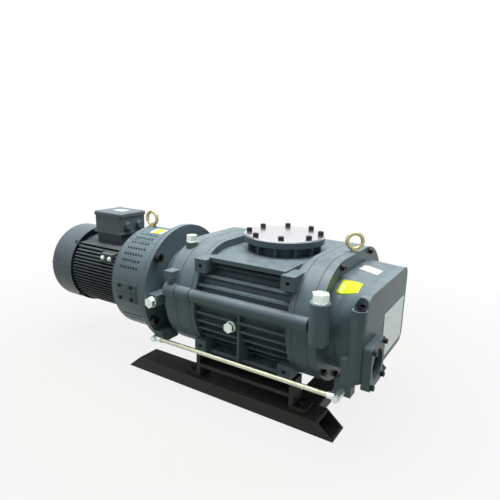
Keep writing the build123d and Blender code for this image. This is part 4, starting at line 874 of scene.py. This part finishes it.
class PUMP_OT_studio(bpy.types.Operator):
    """Set up the floor, light and camera"""
    bl_idname = "pump.studio"
    bl_label = "Studio"

    def execute(self, context):
        studio = context.scene.pump_studio
        lit_floor()
        white_world()
        target = Vector((-0.15, 0.0, 0.25))
        # name, place, side, share of the key light's power
        lamps = (
            ("key_light", (-0.8, -0.1, 2.3), 1.3, 1.0),
            ("front_light", (-0.9, -2.0, 1.4), 1.2, 0.12),
            ("side_light", (2.0, -1.0, 1.3), 1.4, 0.07),
            ("top_light", (0.2, 0.3, 2.3), 1.5, 1.2),
        )
        for name, place, side, share in lamps:
            area_lamp(name, place, target, side, studio.key * share)
        camera_at(studio.place, *studio.turn, studio.lens)
        context.scene.view_settings.view_transform = "Standard"
        return {"FINISHED"}


STEPS = (PUMP_OT_finishes, PUMP_OT_lantern, PUMP_OT_joints, PUMP_OT_labels, PUMP_OT_plate,
         PUMP_OT_lantern_cover, PUMP_OT_motor_trim, PUMP_OT_skid_ties, PUMP_OT_studio)


class PUMP_PT_panel(bpy.types.Panel):
    """Lists the steps and the choices."""
    bl_label = "Pump"
    bl_idname = "PUMP_PT_panel"
    bl_space_type = "VIEW_3D"
    bl_region_type = "UI"
    bl_category = "Pump"

    def draw(self, context):
        for step in STEPS:
            self.layout.operator(step.bl_idname)
        for group in (context.scene.pump_finish, context.scene.pump_trim, context.scene.pump_studio):
            box = self.layout.box()
            for name in group.__annotations__:
                box.prop(group, name)


CLASSES = (PumpFinish, PumpTrim, PumpStudio, *STEPS, PUMP_PT_panel)


def register():
    """Adds the classes and the scene's choices."""
    for made in CLASSES:
        bpy.utils.register_class(made)
    bpy.types.Scene.pump_finish = PointerProperty(type=PumpFinish)
    bpy.types.Scene.pump_trim = PointerProperty(type=PumpTrim)
    bpy.types.Scene.pump_studio = PointerProperty(type=PumpStudio)


def unregister():
    """Takes them away again."""
    for name in ("pump_studio", "pump_trim", "pump_finish"):
        delattr(bpy.types.Scene, name)
    for made in reversed(CLASSES):
        bpy.utils.unregister_class(made)


def main():
    """Runs every step in order."""
    register()
    for step in STEPS:
        group, name = step.bl_idname.split(".")
        getattr(getattr(bpy.ops, group), name)()


if __name__ == "__main__":
    main()
